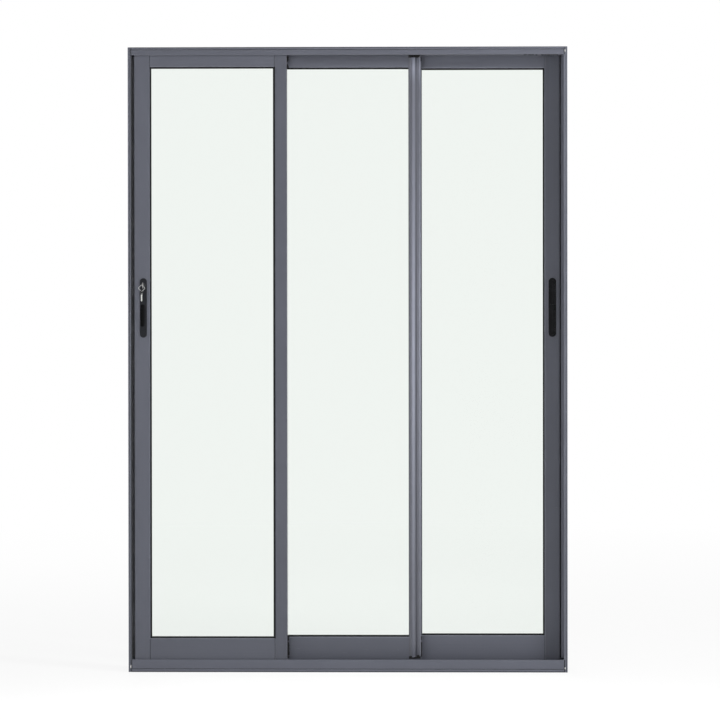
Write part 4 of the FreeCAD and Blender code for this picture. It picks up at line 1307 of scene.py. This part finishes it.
@dataclass
class Interlock:
    """The rounded cover on the middle panel, and the beads, lips and tufts beside both posts."""

    edge: float = 0.5
    flange_lap: float = 0.3
    flange_width: float = 6.0
    flange_sheet: float = 0.9
    flange_sink: float = 0.1
    flange_corner: float = 0.3
    bead: tuple[Point2, ...] = ((-1.0, -0.2), (0.6, -0.2), (5.4, 9.0), (5.4, 10.6), (4.2, 10.6), (-1.0, 1.4))
    post_lip: tuple[Point2, ...] = (
        (-0.2, 0.8), (-0.2, -0.25), (0.2, -0.5), (1.7, -0.35), (2.5, -0.03), (2.5, 0.8),
    )
    post_lip_lap: float = 0.5
    foot_drop: float = 4.6
    foot_lap: float = 0.6
    foot_sink: float = 0.1
    foot_slant: float = 5.0
    foot_flat: Point2 = (3.0, 1.6)
    foot_bead: Point2 = (22.0, 4.3)
    foot_cove: Point2 = (32.0, 0.9)
    foot_lip: Point2 = (35.0, 3.9)
    foot_bead_steps: int = 12
    foot_cove_steps: int = 6
    pad_insets: Point2 = (5.4, 1.4)
    pad_depth: Point2 = (-13.8, -17.0)
    pad_top: Point2 = (-0.4, 11.0)
    pad_bottom: Point2 = (-0.2, -9.0)
    wedge_lap: float = 0.4
    tab_low: float = 2099.5
    tab_inset: float = 4.8
    tab_near: float = -18.6
    tab_far: float = -14.6
    tab_sheet: float = 0.8
    tab_radius: float = 2.6
    tab_rise: float = 3.2
    tab_curl: float = math.radians(150.0)
    tab_steps: int = 7
    left_tufts: tuple[Point2, ...] = (
        (2087.0, 2105.5), (2066.0, 2078.0), (103.0, 121.0), (52.0, 99.0), (45.0, 50.0),
    )
    left_tuft_reach: Point2 = (-0.2, 7.0)
    left_tuft_sides: Point2 = (-36.0, -25.2)
    middle_tufts: tuple[Point2, ...] = ((2088.0, 2103.0), (105.0, 118.0), (47.0, 98.0))
    middle_tuft_reach: Point2 = (-0.4, 4.6)
    middle_tuft_sides: Point2 = (-17.2, -13.8)

    def build(self) -> None:
        """Dress the cover and build the pieces on it and beside it."""
        dress("middle_interlock_cover", COAT_COVER, COAT_EDGE, self.edge)
        self.flange()
        self.post_edges()
        self.foot()
        self.pads()
        self.tab()
        self.tufts()

    def flange(self) -> None:
        """Build the thin metal flange that hides the gasket left of the cover."""
        low, high = span("middle_interlock_cover")
        face = span("middle_bottom_rail")[0][1]
        right = low[0] + self.flange_lap
        left = right - self.flange_width
        near, far = face - self.flange_sheet, face + self.flange_sink
        corner = self.flange_corner
        outline = [(right, near), (right, far), (left, far), (left, near + corner), (left + corner, near)]
        sheet = Solid().drawn(outline, Axis.Z, low[2] + self.foot_slant, high[2])
        sheet.piece("cover_flange", COAT_COVER, Body.MIDDLE, Slot.PANEL_METAL)

    def post_edges(self) -> None:
        """Build the right post's sloping metal bead and the gasket's lip over the left post."""
        below, above = span("right_bottom_rail"), span("right_top_rail")
        outline = [(below[0][0] + across, below[0][1] + depth) for across, depth in self.bead]
        bead = Solid().drawn(outline, Axis.Z, below[1][2], above[0][2])
        bead.piece("right_post_bead", COAT_UPRIGHT, Body.RIGHT, Slot.PANEL_METAL)
        below, above = span("left_bottom_rail"), span("left_top_rail")
        outline = [(below[1][0] + across, below[0][1] + depth) for across, depth in self.post_lip]
        lip = Solid().drawn(outline, Axis.Z, below[1][2] - self.post_lip_lap, above[0][2] + self.post_lip_lap)
        lip.piece("left_post_lip", GASKET, Body.LEFT)

    def foot(self) -> None:
        """Build the slanted foot that takes the cover's section down to just above the sill."""
        low = span("middle_interlock_cover")[0]
        back = span("middle_bottom_rail")[0][1]
        flat_end, flat_rise = self.foot_flat
        bead_end, bead_rise = self.foot_bead
        cove_end, cove_sink = self.foot_cove
        lip_end, lip_rise = self.foot_lip
        sink = -self.foot_sink
        section = [(lip_end, sink), (0.0, sink), (0.0, flat_rise), (flat_end, flat_rise)]
        for i in range(1, self.foot_bead_steps):
            share = i / self.foot_bead_steps
            rise = flat_rise + bead_rise * math.sin(math.pi * share)
            section.append((flat_end + (bead_end - flat_end) * share, rise))
        for i in range(self.foot_cove_steps):
            share = i / self.foot_cove_steps
            rise = flat_rise + (lip_rise - flat_rise) * share - cove_sink * math.sin(math.pi * share)
            section.append((bead_end + (cove_end - bead_end) * share, rise))
        section += [(cove_end, lip_rise), (lip_end, lip_rise)]
        rings = []
        for drop in (self.foot_drop, -self.foot_lap):
            ring = []
            for across, rise in section:
                slant = self.foot_slant * across / lip_end
                ring.append((low[0] + across, back - rise, low[2] + slant - drop))
            rings.append(ring)
        Solid().rings(rings).piece("cover_foot", COAT_COVER, Body.MIDDLE, Slot.PANEL_METAL)

    def pads(self) -> None:
        """Build the black brush pads above and below the cover, where it stops short of head and sill; they
        also stand in for the shade in those gaps.
        """
        low, high = span("middle_interlock_cover")
        left, right = low[0] - self.pad_insets[0], high[0] - self.pad_insets[1]
        brush = BrushSeal(step=2.0, ragged=1.0, seed=31)
        top = Solid()
        brush.level(top, (left, right), self.pad_depth, tuple(high[2] + z for z in self.pad_top))
        top.piece("cover_top_pad", PILE, Body.MIDDLE)
        bottom = Solid()
        brush.level(bottom, (left, right), self.pad_depth, tuple(low[2] + z for z in self.pad_bottom))
        root = low[2] - self.wedge_lap
        wedge = [(left, root), (right, root), (right, low[2] + self.foot_slant)]
        bottom.drawn(wedge, Axis.Y, self.pad_depth[1], self.pad_depth[0])
        bottom.piece("cover_bottom_pad", PILE, Body.MIDDLE)

    def tab(self) -> None:
        """Build the curled end of the seal that stands out at the cover's top."""
        left = span("middle_interlock_cover")[1][0] - self.tab_inset
        rings = [self.slice(left, self.tab_low + self.tab_rise * share, 0.0) for share in (0.0, 0.5, 1.0)]
        for i in range(1, self.tab_steps + 1):
            angle = self.tab_curl * i / self.tab_steps
            x = left + self.tab_radius - self.tab_radius * math.cos(angle)
            z = self.tab_low + self.tab_rise + self.tab_radius * math.sin(angle)
            rings.append(self.slice(x, z, angle))
        Solid().rings(rings).piece("cover_curled_tab", SEAL_END, Body.MIDDLE)

    def slice(self, x: float, z: float, angle: float) -> list[Point3]:
        """Return a cut through the tab.

        Args:
            x: X of the cut's middle.
            z: Z of the cut's middle.
            angle: how far the tab has curled there.

        Returns:
            The four corners of the cut.
        """
        out_x = math.cos(angle) * self.tab_sheet / 2
        out_z = math.sin(angle) * self.tab_sheet / 2
        near, far = self.tab_near, self.tab_far
        corners = ((-out_x, near, out_z), (out_x, near, -out_z), (out_x, far, -out_z), (-out_x, far, out_z))
        return [(x + across, depth, z + up) for across, depth, up in corners]

    def tufts(self) -> None:
        """Build the ragged tufts of brush seal right of both posts."""
        seal = BrushSeal(step=2.6, seed=23)
        left = (self.left_tufts, self.left_tuft_reach, self.left_tuft_sides)
        middle = (self.middle_tufts, self.middle_tuft_reach, self.middle_tuft_sides)
        posts = (
            ("left_meeting_stile", left, "left_post_tufts", Body.LEFT),
            ("middle_interlock_cover", middle, "middle_post_tufts", Body.MIDDLE),
        )
        for node, (runs, reach, sides), name, body in posts:
            edge = span(node)[1][0]
            pile = Solid()
            for along in runs:
                seal.upright(pile, along, (edge + reach[0], edge + reach[1]), sides)
            pile.piece(name, PILE_UPRIGHT, body)


@dataclass
class LockSet:
    """The lock of the left panel with its keys, and the plain pulls of the right panel."""

    plate_face: float = -60.4
    plate_edge: float = 0.3
    metal_edge: float = 0.25
    ring_edge: float = 0.35
    collar: tuple[Point2, ...] = (
        (6.25, 0.2), (8.8, 0.2), (8.8, -0.28), (8.3, -0.63), (7.8, -0.7), (6.55, -0.7), (6.25, -0.42),
    )
    collar_steps: int = 40
    latch_screw_inset: float = 6.5
    rivet_drop: float = 12.4
    rivet_radius: float = 1.9
    rivet_rings: int = 7
    rivet_steps: int = 16

    def build(self) -> None:
        """Dress the lock's nodes and build its rosette, rivet and screws."""
        dress("left_lock_plate", LACQUER_PLATE, LACQUER_EDGE, self.plate_edge)
        for node in ("left_inside_plate", "right_pull", "right_inside_pull"):
            dress(node, LACQUER, LACQUER_EDGE, self.plate_edge)
        metals = (
            ("left_lock_barrel", BLACK_NICKEL), ("left_inside_turn", BLACK_NICKEL), ("left_key", KEY_METAL),
            ("left_spare_key", SPARE_KEY), ("left_latch", DARK_STEEL),
        )
        for node, finish in metals:
            dress(node, finish, finish, self.metal_edge)
        dress("left_key_ring", RING_WIRE, RING_WIRE, self.ring_edge)
        self.rosette()
        self.rivet()
        screws = ScrewSet(radius=3.2, rise=0.9, cross_depth=0.6, finish=DARK_SCREW)
        screws.pair("latch_screws", "left_latch", -1, self.latch_screw_inset, Body.LEFT)

    def rosette(self) -> None:
        """Build the collar round the barrel."""
        middle = Axis.Y.place(self.plate_face, *BARREL_MIDDLE)
        rosette = Solid().turned(middle, Axis.Y, self.collar, self.collar_steps, hollow=True)
        rosette.piece("lock_rosette", LACQUER_EDGE, Body.LEFT, Slot.BLACK)

    def rivet(self) -> None:
        """Build the rivet through the spare key's head."""
        low, high = span("left_spare_key")
        ring_low, ring_high = span("left_key_ring")
        depth = (ring_low[1] + ring_high[1]) / 2
        middle = ((low[0] + high[0]) / 2, depth, high[2] - self.rivet_drop)
        profile = []
        for i in range(self.rivet_rings):
            angle = math.pi * (i + 0.5) / self.rivet_rings
            profile.append((self.rivet_radius * math.sin(angle), -self.rivet_radius * math.cos(angle)))
        rivet = Solid().turned(middle, Axis.Z, profile, self.rivet_steps)
        rivet.piece("spare_key_rivet", RING_WIRE, Body.LEFT, Slot.KEY)


@dataclass(frozen=True)
class Lamp:
    """One soft lamp: where it hangs and points, its face, its power in watts and its cone."""

    name: str
    place: Point3
    target: Point3
    face: Point2
    power: float
    cone: float = 180.0
    mirrored: bool = True

    def build(self) -> None:
        """Hang the lamp; glass never shows its face, and one that isn't mirrored has no gloss."""
        light = bpy.data.lights.new(self.name, "AREA")
        light.shape = "RECTANGLE"
        light.size, light.size_y = self.face
        light.energy = self.power
        light.spread = math.radians(self.cone)
        made = bpy.data.objects.new(self.name, light)
        made.location = self.place
        aim = Vector(self.target) - Vector(self.place)
        made.rotation_euler = aim.to_track_quat("-Z", "Y").to_euler()
        made.visible_transmission = False
        made.visible_glossy = self.mirrored
        bpy.context.scene.collection.objects.link(made)


@dataclass
class Studio:
    """Floor, light, world and camera. Lengths here are in metres."""

    lamps: tuple[Lamp, ...] = (
        Lamp("key_light", (0.8, -11.5, 2.0), (0.0, 0.0, 1.1), (5.0, 3.4), 330.0, mirrored=False),
        Lamp("left_soft_light", (-3.4, -8.6, 1.2), (0.2, 0.0, 1.0), (3.6, 2.2), 200.0, mirrored=False),
        Lamp("right_light", (2.3, -1.8, 2.9), (0.6, 0.0, 1.8), (0.8, 0.8), 74.0, mirrored=False),
        Lamp("bounce_light", (0.0, -2.4, 2.8), (0.0, -2.4, 0.0), (1.6, 1.6), 60.0, cone=75.0),
        Lamp("rear_light", (-1.5, 5.5, 3.6), (0.0, 0.0, 1.0), (2.6, 2.6), 110.0),
    )
    camera_place: Point3 = (0.2113, -10.0, 1.34)
    camera_yaw: float = 0.972
    camera_tilt: float = 89.558
    camera_roll: float = -0.062
    camera_lens: float = 145.6
    camera_shift: float = -0.08
    camera_far: float = 200.0
    floor_half: float = 40.0
    floor_drop: float = 0.0005
    floor_white: float = 0.86
    floor_fade: Point2 = (1.5, 6.0)
    floor_tones: Point2 = (0.90, 0.94)
    soft_light: float = 0.34

    def build(self) -> None:
        """Build the whole studio."""
        self.world()
        self.floor()
        for lamp in self.lamps:
            lamp.build()
        self.camera()
        bpy.context.scene.view_settings.view_transform = "Standard"

    def seen(self, graph: ShaderGraph) -> Value:
        """Tell what is seen from what only lights.

        Args:
            graph: the node tree that asks.

        Returns:
            1 for rays from the camera, also by way of metal or glass, and 0 for others.
        """
        kinds = ("Is Camera Ray", "Is Glossy Ray", "Is Transmission Ray")
        camera, glossy, clear = (graph.node("ShaderNodeLightPath", output=kind) for kind in kinds)
        return camera.most(glossy).most(clear)

    def world(self) -> None:
        """Build a soft even sky that is seen as plain white."""
        made = bpy.data.worlds.new("studio")
        made.use_nodes = True
        graph = ShaderGraph(made.node_tree)
        light = graph.node("ShaderNodeBackground", {"Color": WHITE, "Strength": self.soft_light})
        white = graph.node("ShaderNodeBackground", {"Color": WHITE, "Strength": 1.0})
        both = graph.node("ShaderNodeMixShader", {0: self.seen(graph), 1: light, 2: white})
        graph.node("ShaderNodeOutputWorld", {"Surface": both})
        bpy.context.scene.world = made

    def floor(self) -> None:
        """Build the pale floor, which keeps the door's shadow and fades to white far away."""
        half = self.floor_half
        mesh = bpy.data.meshes.new("floor")
        corners = [(-half, -half, 0.0), (half, -half, 0.0), (half, half, 0.0), (-half, half, 0.0)]
        mesh.from_pydata(corners, [], [(0, 1, 2, 3)])
        made = bpy.data.objects.new("floor", mesh)
        made.location.z = -self.floor_drop
        bpy.context.scene.collection.objects.link(made)
        skin = bpy.data.materials.new("pale_floor")
        skin.use_nodes = True
        graph = ShaderGraph(skin.node_tree)
        place = graph.place()
        away = graph.measure(place, Axis.X).slant(graph.measure(place, Axis.Y))
        white_share = self.floor_white + away.over(*self.floor_fade) * (1.0 - self.floor_white)
        low, high = (shade(WHITE[:3], tone) for tone in self.floor_tones)
        tone = graph.mix(graph.noise(place, 5.0, 3.0), low, high)
        matt = graph.node("ShaderNodeBsdfDiffuse", {"Color": tone})
        white = graph.node("ShaderNodeEmission", {"Color": WHITE, "Strength": 1.0})
        both = graph.node("ShaderNodeMixShader", {0: self.seen(graph) * white_share, 1: matt, 2: white})
        graph.node("ShaderNodeOutputMaterial", {"Surface": both})
        mesh.materials.append(skin)

    def camera(self) -> None:
        """Build the camera at the photograph's viewing angle."""
        lens = bpy.data.cameras.new("camera")
        lens.lens = self.camera_lens
        lens.shift_y = self.camera_shift
        lens.clip_end = self.camera_far
        made = bpy.data.objects.new("camera", lens)
        bpy.context.scene.collection.objects.link(made)
        turn = Matrix.Rotation(math.radians(self.camera_yaw), 4, "Z")
        tilt = Matrix.Rotation(math.radians(self.camera_tilt), 4, "X")
        roll = Matrix.Rotation(math.radians(self.camera_roll), 4, "Z")
        made.matrix_world = Matrix.Translation(self.camera_place) @ turn @ tilt @ roll
        bpy.context.scene.camera = made


def main() -> None:
    """Build the studio and dress the door, one sub-assembly after the other."""
    logging.basicConfig(level=logging.INFO, format="%(message)s")
    left_stiles = ("left_lock_stile", "left_meeting_stile")
    middle_stiles = ("middle_left_stile", "middle_right_stile")
    right_stiles = ("right_meeting_stile", "right_lock_stile")
    Studio().build()
    OuterFrame().build()
    DoorPanel("left", Body.LEFT, -LANE, left_stiles, edge_screws=-1).build()
    DoorPanel("middle", Body.MIDDLE, 0.0, middle_stiles).build()
    DoorPanel("right", Body.RIGHT, LANE, right_stiles, edge_screws=1).build()
    Rollers().build()
    Interlock().build()
    LockSet().build()


if __name__ == "__main__":
    main()
